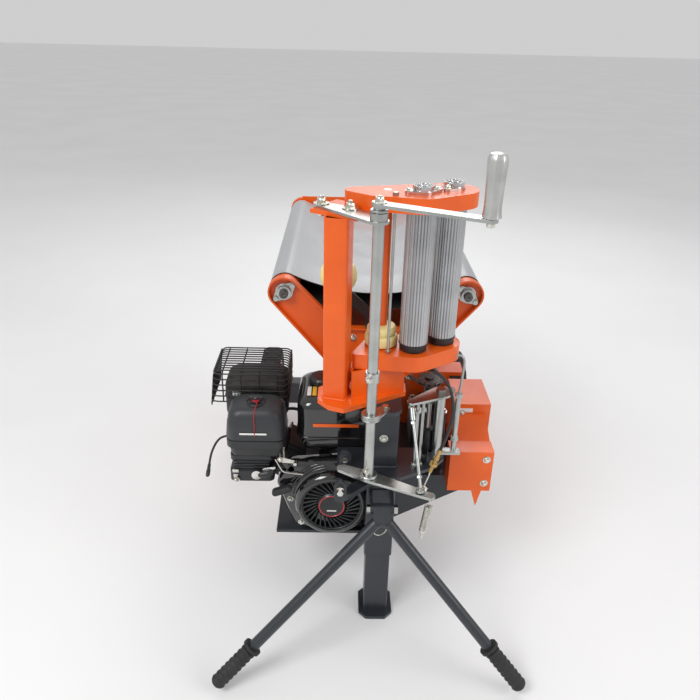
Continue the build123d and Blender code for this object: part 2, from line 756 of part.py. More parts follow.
TOP_ARM_LOW = POST_TOP + HEAD_T
TOP_ARM_Z = TOP_ARM_LOW + TOP_ARM_DEPTH
TOP_OUTLINE = around([(-56, -566, 22), (-22, -596, 20), (*FILM_A, 50), (*FILM_B, 50)])
with BuildPart() as upper_arm:
    add(arm_pan(TOP_OUTLINE, TOP_ARM_LOW, TOP_ARM_Z, ARM_LIP_T, ARM_T).part)
    with BuildSketch(Plane.XY.offset(TOP_ARM_Z)):
        with Locations(FILM_A, FILM_B):
            Circle(FILM_SHAFT_R + 2)
        with Locations(SPINDLE):
            Circle(FILM_SHAFT_R + RUN)
        with Locations(TIE):
            Circle(TIE_R + RUN)
    extrude(amount=-ARM_T, mode=Mode.SUBTRACT)
upper_arm.part.label = "upper_arm"
export_step(upper_arm.part, "parts/upper_arm.step")

GEAR_PITCH = math.dist(FILM_A, FILM_B)
ROLLER_LOW = LOW_ARM_Z + LOW_BEARING_T + FILM_GAP
ROLLER_TOP = TOP_ARM_LOW - FILM_GAP
for name, place in (("a", FILM_A), ("b", FILM_B)):
    with BuildPart() as roller:
        with BuildSketch(Plane.XY.offset(ROLLER_LOW)):
            with Locations(place):
                Circle(FILM_R)
                with PolarLocations(FILM_R, FILM_FLUTES):
                    Rectangle(2, 1.7, mode=Mode.SUBTRACT)
                Circle(FILM_BORE, mode=Mode.SUBTRACT)
        extrude(amount=ROLLER_TOP - ROLLER_LOW)
    gear_r = GEAR_PITCH * (STRETCH if name == "a" else 1.0) / (1 + STRETCH)
    with BuildPart() as shaft:
        with BuildSketch(Plane.XY.offset(LOW_ARM_Z + 1)):
            with Locations(place):
                Circle(FILM_SHAFT_R)
        extrude(amount=TOP_ARM_Z + TOP_BEARING_T + 1 - LOW_ARM_Z - 1)
        for low in (ROLLER_LOW, ROLLER_TOP - 12):
            with BuildSketch(Plane.XY.offset(low)):
                with Locations(place):
                    Circle(FILM_BORE)
            extrude(amount=12)
        with BuildSketch(Plane.XY.offset(TOP_ARM_LOW + 4)):
            with Locations(place):
                Circle(gear_r - 0.2)
                with PolarLocations(gear_r, round(gear_r * 0.8)):
                    Circle(1.4, mode=Mode.SUBTRACT)
        extrude(amount=12)
    film_roller = Compound(label=f"film_roller_{name}", children=[roller.part, shaft.part])
    export_step(film_roller, f"parts/film_roller_{name}.step")

with BuildPart() as film_bearings:
    for place, turn in ((FILM_A, 20.0), (FILM_B, 60.0)):
        with BuildSketch(Plane.XY.offset(TOP_ARM_Z)):
            add(around([(*place, 22), (*polar(place, 30, turn), 8), (*polar(place, -30, turn), 8)]))
        extrude(amount=TOP_BEARING_T * 0.4)
        with BuildSketch(Plane.XY.offset(TOP_ARM_Z)):
            with Locations(place):
                Circle(19)
        extrude(amount=TOP_BEARING_T)
        with BuildSketch(Plane.XY.offset(LOW_ARM_Z)):
            with Locations(place):
                Circle(25)
        extrude(amount=LOW_BEARING_T)
        with BuildSketch(Plane.XY.offset(LOW_ARM_Z)):
            with Locations(place):
                Circle(FILM_SHAFT_R + RUN)
        extrude(amount=TOP_ARM_Z + TOP_BEARING_T - LOW_ARM_Z, mode=Mode.SUBTRACT)
film_bearings.part.label = "film_bearings"
export_step(film_bearings.part, "parts/film_bearings.step")

with BuildPart() as spindle_rod:
    with BuildSketch(Plane.XY.offset(LOW_ARM_Z - ARM_T)):
        with Locations(SPINDLE):
            Circle(FILM_SHAFT_R)
    extrude(amount=TOP_ARM_Z - LOW_ARM_Z + ARM_T)
    with BuildSketch(Plane.XY.offset(LOW_ARM_Z - ARM_T)):
        with Locations(TIE):
            Circle(TIE_R)
    extrude(amount=TOP_ARM_Z - LOW_ARM_Z + ARM_T)
    for low in (LOW_ARM_Z, TOP_ARM_Z):
        with BuildSketch(Plane.XY.offset(low)):
            with Locations(TIE):
                RegularPolygon(6, 6)
        extrude(amount=6)
spindle_rod.part.label = "spindle_rod"
export_step(spindle_rod.part, "parts/spindle_rod.step")

CONE_LOW = LOW_ARM_Z + 2
with BuildPart() as film_cone:
    with BuildSketch(at_y(SPINDLE[1])):
        with BuildLine():
            Polyline(
                (SPINDLE[0] + FILM_SHAFT_R + RUN, CONE_LOW),
                (SPINDLE[0] + CONE_R, CONE_LOW),
                (SPINDLE[0] + CONE_R, CONE_LOW + CONE_H * 0.5),
                (SPINDLE[0] + CONE_R * 0.9, CONE_LOW + CONE_H * 0.54),
                (SPINDLE[0] + CONE_R * 0.93, CONE_LOW + CONE_H * 0.92),
                (SPINDLE[0] + CONE_R * 0.84, CONE_LOW + CONE_H),
                (SPINDLE[0] + FILM_SHAFT_R + RUN, CONE_LOW + CONE_H),
                close=True,
            )
        make_face()
    revolve(axis=Axis((SPINDLE[0], SPINDLE[1], 0), (0, 0, 1)))
film_cone.part.label = "film_cone"
export_step(film_cone.part, "parts/film_cone.step")

SLEEVE_TOP = TOP_ARM_LOW - FILM_GAP
with BuildPart() as spindle_tube:
    with BuildSketch(Plane.XY.offset(CONE_LOW + CONE_H)):
        with Locations(SPINDLE):
            Circle(SPINDLE_R)
            Circle(FILM_SHAFT_R + RUN, mode=Mode.SUBTRACT)
    extrude(amount=SLEEVE_TOP - CONE_LOW - CONE_H)
spindle_tube.part.label = "spindle_tube"
export_step(spindle_tube.part, "parts/spindle_tube.step")

# ================= control linkage =================
HEAD_BOLT_A = (-122.0, -583.0)
HEAD_BOLT_B = (-67.0, -616.0)
with BuildPart() as head_bracket:
    with BuildSketch(Plane.XY.offset(TOP_ARM_LOW)):
        add(around([(*HEAD_BOLT_A, 14), (*HEAD_BOLT_B, 14), (*SHAFT, 19)]))
        with Locations(SHAFT):
            Circle(SHAFT_R + RUN, mode=Mode.SUBTRACT)
    extrude(amount=PLATE_T)
    with BuildSketch(Plane.XY.offset(TOP_ARM_LOW + PLATE_T)):
        with Locations(SHAFT):
            Circle(16)
            Circle(SHAFT_R + RUN, mode=Mode.SUBTRACT)
    extrude(amount=14)

with BuildPart() as shaft_lug:
    with BuildSketch(Plane.XY.offset(CAP_Z)):
        add(around([(*SHAFT, 19), (14, -664, 10)]))
        with Locations(SHAFT):
            Circle(SHAFT_R + RUN, mode=Mode.SUBTRACT)
    extrude(amount=LUG_T)

shaft_brackets = Compound(label="shaft_brackets", children=[head_bracket.part, shaft_lug.part])
export_step(shaft_brackets, "parts/shaft_brackets.step")

LINK_FOOT = polar(SHAFT, LINK_REACH, LEVER_TURN)
LEVER_END = polar(SHAFT, LEVER_RIGHT, LEVER_TURN)
LEVER_TAB = polar(SHAFT, -LEVER_LEFT, LEVER_TURN)
CRANK_END = polar(SHAFT, CRANK_REACH, LEVER_TURN)
with BuildPart() as control_shaft:
    with BuildSketch(Plane.XY.offset(LEVER_Z)):
        with Locations(SHAFT):
            Circle(SHAFT_R)
    extrude(amount=CRANK_Z + LEVER_T - LEVER_Z)
    with BuildSketch(Plane.XY.offset(LEVER_Z)):
        add(around([(*LEVER_TAB, 12), (*SHAFT, 17)]))
        add(around([(*SHAFT, 17), (*LEVER_END, 10)]))
    extrude(amount=LEVER_T)
    with BuildSketch(Plane.XY.offset(LEVER_Z)):
        with Locations(LINK_FOOT):
            Circle(4 + RUN)
    extrude(amount=LEVER_T, mode=Mode.SUBTRACT)
    with BuildSketch(Plane.XY.offset(CRANK_Z)):
        add(around([(*SHAFT, 14), (*CRANK_END, 12)]))
    extrude(amount=LEVER_T)
    with BuildSketch(Plane.XY.offset(CRANK_Z)):
        with Locations(CRANK_END):
            Circle(5)
    extrude(amount=108)
control_shaft.part.label = "control_shaft"
export_step(control_shaft.part, "parts/control_shaft.step")

GRIP_LOW = CRANK_Z + LEVER_T + 1
with BuildPart() as crank_grip:
    with BuildSketch(Plane.XY.offset(GRIP_LOW)):
        with Locations(CRANK_END):
            RegularPolygon(11, 8)
    with BuildSketch(Plane.XY.offset(GRIP_LOW + 88)):
        with Locations(CRANK_END):
            RegularPolygon(17, 8)
    loft()
    with BuildSketch(Plane.XY.offset(GRIP_LOW + 88)):
        with Locations(CRANK_END):
            RegularPolygon(17, 8)
    with BuildSketch(Plane.XY.offset(GRIP_LOW + 104)):
        with Locations(CRANK_END):
            RegularPolygon(12, 8)
    loft()
    with BuildSketch(Plane.XY.offset(GRIP_LOW)):
        with Locations(CRANK_END):
            Circle(5 + RUN)
    extrude(amount=CRANK_Z + 108 - GRIP_LOW + 0.5, mode=Mode.SUBTRACT)
crank_grip.part.label = "crank_grip"
export_step(crank_grip.part, "parts/crank_grip.step")

LINK_LOW = Vector(*LINK_FOOT, LEVER_Z + LEVER_T + 8)
LINK_HIGH = Vector(*LINK_TOP, INDICATOR_Z - 8)
with BuildPart() as link_rod:
    with BuildSketch(Plane(origin=LINK_LOW, z_dir=(LINK_HIGH - LINK_LOW).normalized())):
        Circle(3.5)
    extrude(amount=(LINK_HIGH - LINK_LOW).length)
    with BuildSketch(Plane.XY.offset(LEVER_Z)):
        with Locations(LINK_FOOT):
            Circle(4)
    extrude(amount=LEVER_T + 14)
    with BuildSketch(Plane.XY.offset(LEVER_Z + LEVER_T)):
        with Locations(LINK_FOOT):
            RegularPolygon(8, 6)
    extrude(amount=6)
    with BuildSketch(Plane.XY.offset(INDICATOR_Z - 18)):
        with Locations(LINK_TOP):
            RegularPolygon(7.5, 6)
    extrude(amount=17.8)
link_rod.part.label = "link_rod"
export_step(link_rod.part, "parts/link_rod.step")

with BuildPart() as indicator_lever:
    with BuildSketch(Plane.XY.offset(INDICATOR_Z)):
        add(around([(*LINK_TOP, 10), (*PIVOT_POST, 22), (PIVOT_POST[0] + 22, PIVOT_POST[1] + 14, 11)]))
        with Locations(PIVOT_POST):
            Circle(8 + RUN, mode=Mode.SUBTRACT)
    extrude(amount=PLATE_T)
indicator_lever.part.label = "indicator_lever"
export_step(indicator_lever.part, "parts/indicator_lever.step")

with BuildPart() as pivot_post:
    with BuildSketch(Plane.XY.offset(GUSSET_Z)):
        with Locations(PIVOT_POST):
            Circle(8)
    extrude(amount=INDICATOR_Z + PLATE_T + 2 - GUSSET_Z)
    with BuildSketch(Plane.XY.offset(GUSSET_Z)):
        with Locations(PIVOT_POST):
            Circle(11)
    extrude(amount=INDICATOR_Z - 0.1 - GUSSET_Z)
    with BuildSketch(Plane.XY.offset(INDICATOR_Z + PLATE_T + 0.1)):
        with Locations(PIVOT_POST):
            RegularPolygon(11, 6)
    extrude(amount=8)
pivot_post.part.label = "pivot_post"
export_step(pivot_post.part, "parts/pivot_post.step")

# stop bracket with the adjusting screw in front of the lever's tab
with BuildPart() as stop_bracket:
    with BuildSketch(at_y(-722)):
        add(around([(LEVER_TAB[0] - 4, LEVER_Z + 4, 13), (LEVER_TAB[0] - 4, LEVER_Z - 24, 13)]))
    extrude(amount=7)
    with BuildSketch(Plane.XY.offset(LEVER_Z - 37)):
        with BuildLine():
            Polyline(
                (LEVER_TAB[0] - 16, -722),
                (LEVER_TAB[0] + 12, -722),
                (LEG_X, COLUMN_FRONT - 12),
                (LEG_X, COLUMN_FRONT),
                (LEG_X - 30, COLUMN_FRONT),
                close=True,
            )
        make_face()
    extrude(amount=12)

with BuildPart() as stop_screw:
    with BuildSketch(at_y(-729)):
        with Locations((LEVER_TAB[0] - 4, LEVER_Z + 3)):
            RegularPolygon(7, 6)
    extrude(amount=22)

with BuildPart() as front_column:
    add(leg_sleeve.part)
    add(gusset_plate.part)
    add(column_tube.part)
    add(handle_yoke.part)
    add(stop_bracket.part)
front_column.part.label = "front_column"
export_step(front_column.part, "parts/front_column.step")

with BuildPart() as plain_bolts:
    with BuildSketch(Plane.XY.offset(TOP_ARM_LOW + PLATE_T)):
        with Locations(HEAD_BOLT_A, HEAD_BOLT_B):
            RegularPolygon(8, 6)
    extrude(amount=9)
    with BuildSketch(Plane.XY.offset(CAP_Z + LUG_T)):
        with Locations((14, -664)):
            RegularPolygon(7, 6)
    extrude(amount=6)
    with BuildSketch(at_y(-634)):
        with Locations((-66, GUSSET_Z + 20)):
            RegularPolygon(7, 6)
    extrude(amount=9)
small_bolts = Compound(label="small_bolts", children=[*plain_bolts.part.solids(), yoke_bolt.part, stop_screw.part])
export_step(small_bolts, "parts/small_bolts.step")


SPRING_TOP = LEVER_Z - 2
SPRING_LEAN = Vector(-14, -10, -92).normalized()
with BuildPart() as return_spring:
    with BuildSketch(Plane(origin=(*LEVER_END, SPRING_TOP - 8), z_dir=SPRING_LEAN)):
        Circle(9)
    extrude(amount=72)
    with BuildSketch(Plane(origin=(*LEVER_END, SPRING_TOP - 8), z_dir=SPRING_LEAN)):
        Circle(4)
    extrude(amount=88)
    with BuildSketch(Plane.XY.offset(SPRING_TOP - 12)):
        with Locations(LEVER_END):
            Circle(4)
    extrude(amount=LEVER_Z - SPRING_TOP + 12)
return_spring.part.label = "return_spring"
export_step(return_spring.part, "parts/return_spring.step")

CABLE_R = 3.5
CABLE_POINTS = [
    (55, -580, 664), (86, -586, 668), (122, -600, 668), (152, -622, 644), (160, -644, 600), (152, -660, 556), (136, -664, 512),
]
cable_path = [Vector(*point) for point in CABLE_POINTS]
cable_radii = []
for before, here, after in zip(cable_path, cable_path[1:], cable_path[2:]):
    turn = math.radians((here - before).get_angle(after - here))
    shorter = min((here - before).length, (after - here).length)
    cable_radii.append(0.45 * shorter / math.tan(turn / 2))
print("control cable radii", [round(radius, 1) for radius in cable_radii])
with BuildPart() as cable_sheath:
    with BuildLine() as cable_route:
        FilletPolyline(*cable_path, radius=cable_radii)
    with BuildSketch(Plane(origin=cable_path[0], z_dir=cable_path[1] - cable_path[0])):
        Circle(CABLE_R)
    sweep()
print(
    "control cable volume",
    round(cable_sheath.part.volume),
    "section times length",
    round(math.pi * CABLE_R**2 * sum(edge.length for edge in cable_route.edges())),
)
cable_sheath.part.label = "cable_sheath"
export_step(cable_sheath.part, "parts/cable_sheath.step")

ADJUSTER_WAY = (cable_path[-1] - cable_path[-2]).normalized()
with BuildPart() as cable_adjuster:
    with BuildSketch(Plane(origin=cable_path[-1], z_dir=ADJUSTER_WAY)):
        Circle(5)
    extrude(amount=58)
    with BuildSketch(Plane(origin=cable_path[-1] + ADJUSTER_WAY * 34, z_dir=ADJUSTER_WAY)):
        RegularPolygon(10, 6)
    extrude(amount=8)
    with BuildSketch(Plane.XY.offset(GUSSET_Z)):
        with Locations((120, -622)):
            Rectangle(12, 8)
    extrude(amount=34)
    with BuildSketch(Plane.XY.offset(GUSSET_Z + 26)):
        with Locations((123, -640)):
            Rectangle(14, 44)
    extrude(amount=8)
cable_adjuster.part.label = "cable_adjuster"
export_step(cable_adjuster.part, "parts/cable_adjuster.step")
WIRE_TOP = cable_path[-1] + ADJUSTER_WAY * 58
print("wire top", WIRE_TOP, "lever end", LEVER_END, "link foot", LINK_FOOT, "tab", LEVER_TAB, "crank end", CRANK_END)

# ================= engine =================
with BuildPart() as engine_block:
    with BuildSketch(Plane.XY.offset(ENGINE_BASE)):
        with Locations((CRANK_X + 4, (RECOIL_Y + ENGINE_BACK) / 2 + 10)):
            RectangleRounded(136, ENGINE_BACK - RECOIL_Y - 40, 12)
    extrude(amount=190)
    with BuildSketch(Plane.XY.offset(ENGINE_BASE)):
        with Locations((CRANK_X, (RECOIL_Y + ENGINE_BACK) / 2 + 10)):
            RectangleRounded(158, ENGINE_BACK - RECOIL_Y - 30, 6)
    extrude(amount=12)
    with BuildSketch(Plane(origin=(CRANK_X - 60, 0, CRANK_AXIS_Z + 26), x_dir=(0, 1, 0), z_dir=(-0.906, 0, 0.423))):
        with Locations((HEAD_Y, 0)):
            RectangleRounded(102, 96, 8)
    extrude(amount=70)
    for step in range(5):
        reach = 70.0 + 15.0 * step
        fin = Plane(
            origin=(CRANK_X - 60 - 0.906 * reach, 0, CRANK_AXIS_Z + 26 + 0.423 * reach),
            x_dir=(0, 1, 0),
            z_dir=(-0.906, 0, 0.423),
        )
        with BuildSketch(fin):
            with Locations((HEAD_Y, 0)):
                RectangleRounded(108, 104, 8)
        extrude(amount=4)
        with BuildSketch(fin):
            with Locations((HEAD_Y, 0)):
                RectangleRounded(90, 78, 8)
        extrude(amount=15)
engine_block.part.label = "engine_block"
export_step(engine_block.part, "parts/engine_block.step")

CAP_BACK = ENGINE_BACK - 10
with BuildPart() as crankshaft:
    with BuildSketch(at_y(PULLEY_Y + PULLEY_T)):
        with Locations((CRANK_X, CRANK_AXIS_Z)):
            Circle(PTO_R)
    extrude(amount=PULLEY_Y + PULLEY_T - CAP_BACK - 0.5)
    with BuildSketch(at_y(PULLEY_Y + PULLEY_T)):
        with Locations((CRANK_X, CRANK_AXIS_Z)):
            Circle(ENGINE_PULLEY_R)
            Circle(PTO_R - 1, mode=Mode.SUBTRACT)
    extrude(amount=PULLEY_T)
    groove_y = PULLEY_Y + PULLEY_T / 2
    with BuildSketch(at_y(groove_y + 5)):
        with Locations((CRANK_X, CRANK_AXIS_Z)):
            Circle(ENGINE_PULLEY_R + 1)
            Circle(ENGINE_PULLEY_R - 7, mode=Mode.SUBTRACT)
    extrude(amount=10, mode=Mode.SUBTRACT)
crankshaft.part.label = "crankshaft_pulley"
export_step(crankshaft.part, "parts/crankshaft_pulley.step")

RECOIL_DEPTH = 32.0
with BuildPart() as recoil_cover:
    with BuildSketch(at_y(RECOIL_Y + 30)):
        with BuildLine():
            Polyline(
                (CRANK_X - 92, ENGINE_BASE + 34), (CRANK_X - 128, CRANK_AXIS_Z + 48), (CRANK_X - 104, CRANK_AXIS_Z + 96),
                (CRANK_X + 34, CRANK_AXIS_Z + 112), (CRANK_X + 74, CRANK_AXIS_Z + 60), (CRANK_X + 74, ENGINE_BASE + 60),
                (CRANK_X + 34, ENGINE_BASE + 16), (CRANK_X - 34, ENGINE_BASE + 14), close=True,
            )
        make_face()
    extrude(amount=38)
    fillet(recoil_cover.edges().filter_by(Axis.Y), radius=16)
    with BuildSketch(at_y(RECOIL_Y - 2)):
        add(around([(-214, 424, 8), (-190, 396, 8)]))
    extrude(amount=6)
    with BuildSketch(at_y(RECOIL_Y - 8)):
        with Locations((CRANK_X, CRANK_AXIS_Z)):
            Circle(74)
    extrude(amount=RECOIL_DEPTH - 8, taper=14)
recoil_cover.part.label = "recoil_cover"
export_step(recoil_cover.part, "parts/recoil_cover.step")

RECOIL_GRIP = (-210.0, RECOIL_Y - 20, 352.0)
with BuildPart() as recoil_grip:
    with BuildSketch(at_y(RECOIL_GRIP[1])):
        add(
            around(
                [
                    (RECOIL_GRIP[0] - 17, RECOIL_GRIP[2] - 6, 8),
                    (RECOIL_GRIP[0] + 17, RECOIL_GRIP[2] + 6, 8),
                ]
            )
        )
    extrude(amount=18)
    with BuildSketch(at_y(RECOIL_Y - 8.2)):
        with Locations((RECOIL_GRIP[0], RECOIL_GRIP[2])):
            Circle(6)
    extrude(amount=RECOIL_Y - 8.2 - RECOIL_GRIP[1])
recoil_grip.part.label = "recoil_grip"
export_step(recoil_grip.part, "parts/recoil_grip.step")

TANK_LOW = 432.0
TANK_TOP = 566.0
TANK_X = (-178.0, 26.0)
TANK_Y = (-586.0, -396.0)
with BuildPart() as fuel_tank:
    with BuildSketch(Plane.XY.offset(TANK_LOW)):
        with Locations(((TANK_X[0] + TANK_X[1]) / 2, (TANK_Y[0] + TANK_Y[1]) / 2 + 12)):
            RectangleRounded(TANK_X[1] - TANK_X[0] - 8, TANK_Y[1] - TANK_Y[0] - 30, 18)
    extrude(amount=TANK_TOP - TANK_LOW)
    fillet(fuel_tank.faces().sort_by(Axis.Z)[-1].edges(), radius=17)
    with BuildSketch(Plane.XY.offset(TANK_LOW + 36)):
        with Locations(((TANK_X[0] + TANK_X[1]) / 2, (TANK_Y[0] + TANK_Y[1]) / 2 + 10)):
            RectangleRounded(TANK_X[1] - TANK_X[0] + 4, TANK_Y[1] - TANK_Y[0] - 20, 20)
    extrude(amount=4)
    with BuildSketch(Plane.XY.offset(ENGINE_BASE + 190)):
        with Locations(((TANK_X[0] + TANK_X[1]) / 2, -470)):
            with GridLocations(70, 90, 2, 2):
                Rectangle(20, 12)
    extrude(amount=TANK_LOW - ENGINE_BASE - 190)
fuel_tank.part.label = "fuel_tank"
export_step(fuel_tank.part, "parts/fuel_tank.step")

CAP_AT = (-122.0, -470.0)
with BuildPart() as fuel_cap:
    with BuildSketch(Plane.XY.offset(TANK_TOP)):
        with Locations(CAP_AT):
            Circle(30)
            with PolarLocations(31, 16):
                Circle(2.4, mode=Mode.SUBTRACT)
    extrude(amount=17)
fuel_cap.part.label = "fuel_cap"
export_step(fuel_cap.part, "parts/fuel_cap.step")

CLEANER_X = (-334.0, -200.0)
CLEANER_Y = (-604.0, -500.0)
CLEANER_LOW = 437.0
CLEANER_SEAM = 484.0
CLEANER_TOP = 560.0
CLEANER_W = CLEANER_X[1] - CLEANER_X[0]
CLEANER_D = CLEANER_Y[1] - CLEANER_Y[0]
CLEANER_AT = ((CLEANER_X[0] + CLEANER_X[1]) / 2, (CLEANER_Y[0] + CLEANER_Y[1]) / 2)
with BuildPart() as cleaner_base:
    with BuildSketch(Plane.XY.offset(CLEANER_LOW)):
        with Locations(CLEANER_AT):
            RectangleRounded(CLEANER_W - 14, CLEANER_D - 14, 14)
    extrude(amount=CLEANER_SEAM - CLEANER_LOW - 20)
    with BuildSketch(Plane.XY.offset(CLEANER_SEAM - 20)):
        with Locations(CLEANER_AT):
            RectangleRounded(CLEANER_W - 4, CLEANER_D - 4, 16)
    extrude(amount=20)
cleaner_base.part.label = "air_cleaner_base"
export_step(cleaner_base.part, "parts/air_cleaner_base.step")
with BuildPart() as cleaner_cover:
    with BuildSketch(Plane.XY.offset(CLEANER_SEAM)):
        with Locations(CLEANER_AT):
            RectangleRounded(CLEANER_W, CLEANER_D, 18)
    extrude(amount=CLEANER_TOP - CLEANER_SEAM, taper=4)
    fillet(cleaner_cover.faces().sort_by(Axis.Z)[-1].edges(), radius=10)
with BuildPart() as cleaner_knob:
    with BuildSketch(Plane.XY.offset(CLEANER_TOP)):
        with Locations((CLEANER_AT[0], CLEANER_AT[1] - 6)):
            Circle(7)
    extrude(amount=8)
    with BuildSketch(Plane.XY.offset(CLEANER_TOP + 2)):
        with Locations((CLEANER_AT[0], CLEANER_AT[1] - 6)):
            SlotOverall(34, 6)
    extrude(amount=14)

air_cleaner_cover = Compound(label="air_cleaner_cover", children=[cleaner_cover.part, cleaner_knob.part])
export_step(air_cleaner_cover, "parts/air_cleaner_cover.step")

CARB_X = (-332.0, -226.0)
CARB_Y = (-594.0, -527.0)
with BuildPart() as carburettor:
    with BuildSketch(Plane.XY.offset(366)):
        with Locations(((CARB_X[0] + CARB_X[1]) / 2, (CARB_Y[0] + CARB_Y[1]) / 2)):
            RectangleRounded(CARB_X[1] - CARB_X[0], CARB_Y[1] - CARB_Y[0], 12)
    extrude(amount=CLEANER_LOW - 366)
    with BuildSketch(at_x(CARB_X[1])):
        with Locations((-532, 379)):
            Circle(12)
    extrude(amount=CRANK_X - 64 - CARB_X[1])
carburettor.part.label = "carburettor_housing"
export_step(carburettor.part, "parts/carburettor_housing.step")

THROTTLE_AT = (-214.0, 424.0)
with BuildPart() as throttle_lever:
    with BuildSketch(at_y(RECOIL_Y - 8.2)):
        add(around([(*THROTTLE_AT, 7), (THROTTLE_AT[0] + 34, THROTTLE_AT[1] - 6, 4)]))
    extrude(amount=3)
    with BuildSketch(at_y(RECOIL_Y - 11.2)):
        with Locations((THROTTLE_AT[0] + 34, THROTTLE_AT[1] - 6)):
            Circle(4)
    extrude(amount=9)
throttle_lever.part.label = "throttle_lever"
export_step(throttle_lever.part, "parts/throttle_lever.step")

MUFF_X = (-352.0, -204.0)
MUFF_Y = (-482.0, -372.0)
MUFF_Z = (470.0, 566.0)
with BuildPart() as muffler:
    with BuildSketch(Plane.XY.offset(MUFF_Z[0])):
        with Locations(((MUFF_X[0] + MUFF_X[1]) / 2, (MUFF_Y[0] + MUFF_Y[1]) / 2)):
            RectangleRounded(MUFF_X[1] - MUFF_X[0], MUFF_Y[1] - MUFF_Y[0], 22)
    extrude(amount=MUFF_Z[1] - MUFF_Z[0])
    fillet(muffler.faces().sort_by(Axis.Z)[-1].edges(), radius=14)
    with BuildSketch(Plane.XY.offset(MUFF_Z[0])):
        with Locations((-262, -430)):
            Rectangle(50, 40)
    extrude(amount=-32.5)
muffler.part.label = "muffler"
export_step(muffler.part, "parts/muffler.step")

GUARD_X = (-384.0, -199.0)
GUARD_Y = (-496.0, -362.0)
GUARD_Z = (500.0, 600.0)
WIRE = 3.0
with BuildPart() as muffler_guard:
    for step in range(9):
        y = GUARD_Y[0] + WIRE + (GUARD_Y[1] - GUARD_Y[0] - 2 * WIRE) * step / 8
        with BuildSketch(at_y(y + WIRE / 2)):
            with Locations(((GUARD_X[0] + GUARD_X[1]) / 2, GUARD_Z[1] - WIRE / 2)):
                Rectangle(GUARD_X[1] - GUARD_X[0], WIRE)
            with Locations((GUARD_X[0] + WIRE / 2, (GUARD_Z[0] + GUARD_Z[1]) / 2)):
                Rectangle(WIRE, GUARD_Z[1] - GUARD_Z[0])
        extrude(amount=WIRE)
    for step in range(5):
        z = GUARD_Z[1] - WIRE - 14 - step * (GUARD_Z[1] - GUARD_Z[0] - 20) / 5
        with BuildSketch(Plane.XY.offset(z)):
            with Locations(((GUARD_X[0] + GUARD_X[1]) / 2, GUARD_Y[0] + WIRE)):
                Rectangle(GUARD_X[1] - GUARD_X[0], WIRE)
            with Locations((GUARD_X[0] + WIRE / 2, (GUARD_Y[0] + GUARD_Y[1]) / 2)):
                Rectangle(WIRE, GUARD_Y[1] - GUARD_Y[0])
        extrude(amount=WIRE)
    for x in (-340, -290, -238):
        with BuildSketch(Plane.XY.offset(GUARD_Z[1] - WIRE)):
            with Locations((x, (GUARD_Y[0] + GUARD_Y[1]) / 2)):
                Rectangle(WIRE, GUARD_Y[1] - GUARD_Y[0])
        extrude(amount=-WIRE * 0.9)
        with BuildSketch(Plane.XY.offset(GUARD_Z[1] - WIRE)):
            with Locations((x, GUARD_Y[0] + WIRE)):
                Rectangle(WIRE, WIRE)
        extrude(amount=-(GUARD_Z[1] - GUARD_Z[0] - 2 * WIRE))
    with BuildSketch(Plane.XY.offset(GUARD_Z[0] + 26)):
        with Locations((-290, GUARD_Y[0] + WIRE + (MUFF_Y[0] - GUARD_Y[0] - WIRE) / 2)):
            Rectangle(12, MUFF_Y[0] - GUARD_Y[0] - WIRE)
    extrude(amount=WIRE)
muffler_guard.part.label = "muffler_guard"
export_step(muffler_guard.part, "parts/muffler_guard.step")

# free ignition-kill lead with its bullet connector
LEAD_R = 2.6
LEAD_POINTS = [(-332.6, -556, 468), (-349, -557, 466), (-362, -558, 452), (-371, -560, 434), (-378, -561, 414), (-382, -562, 392)]
lead_path = [Vector(*point) for point in LEAD_POINTS]
lead_radii = []
for before, here, after in zip(lead_path, lead_path[1:], lead_path[2:]):
    turn = math.radians((here - before).get_angle(after - here))
    shorter = min((here - before).length, (after - here).length)
    lead_radii.append(0.45 * shorter / math.tan(turn / 2))
print("lead radii", [round(radius, 1) for radius in lead_radii])
with BuildPart() as kill_lead:
    with BuildLine() as lead_route:
        FilletPolyline(*lead_path, radius=lead_radii)
    with BuildSketch(Plane(origin=lead_path[0], z_dir=lead_path[1] - lead_path[0])):
        Circle(LEAD_R)
    sweep()
lead_length = sum(edge.length for edge in lead_route.edges())
print("lead volume", round(kill_lead.part.volume), "section times length", round(math.pi * LEAD_R**2 * lead_length))
kill_lead.part.label = "kill_lead"
export_step(kill_lead.part, "parts/kill_lead.step")
LEAD_WAY = (lead_path[-1] - lead_path[-2]).normalized()
with BuildPart() as lead_connector:
    with BuildSketch(Plane(origin=lead_path[-1], z_dir=LEAD_WAY)):
        Circle(4)
    extrude(amount=34)
    with BuildSketch(Plane(origin=lead_path[-1] + LEAD_WAY * 16, z_dir=LEAD_WAY)):
        Circle(5)
    extrude(amount=16)
lead_connector.part.label = "lead_connector"
export_step(lead_connector.part, "parts/lead_connector.step")

# ================= drive =================
with BuildPart() as gearbox:
    with BuildSketch(Plane.XY.offset(OUT_TOP)):
        with Locations((DRIVEN_X, GEARBOX_Y)):
            RectangleRounded(92, 92, 10)
    extrude(amount=96)
    with BuildSketch(Plane.XY.offset(OUT_TOP + 96)):
        with Locations((DRIVEN_X, GEARBOX_Y)):
            Circle(30)
    extrude(amount=22)
    with BuildSketch(at_y(GEARBOX_Y - 46)):
        with Locations((DRIVEN_X, DRIVEN_Z)):
            Circle(28)
    extrude(amount=64)
    with BuildSketch(Plane.XY.offset(OUT_TOP)):
        with Locations((DRIVEN_X, GEARBOX_Y)):
            Circle(12 + RUN)
    extrude(amount=200, mode=Mode.SUBTRACT)
gearbox.part.label = "gearbox"
export_step(gearbox.part, "parts/gearbox.step")

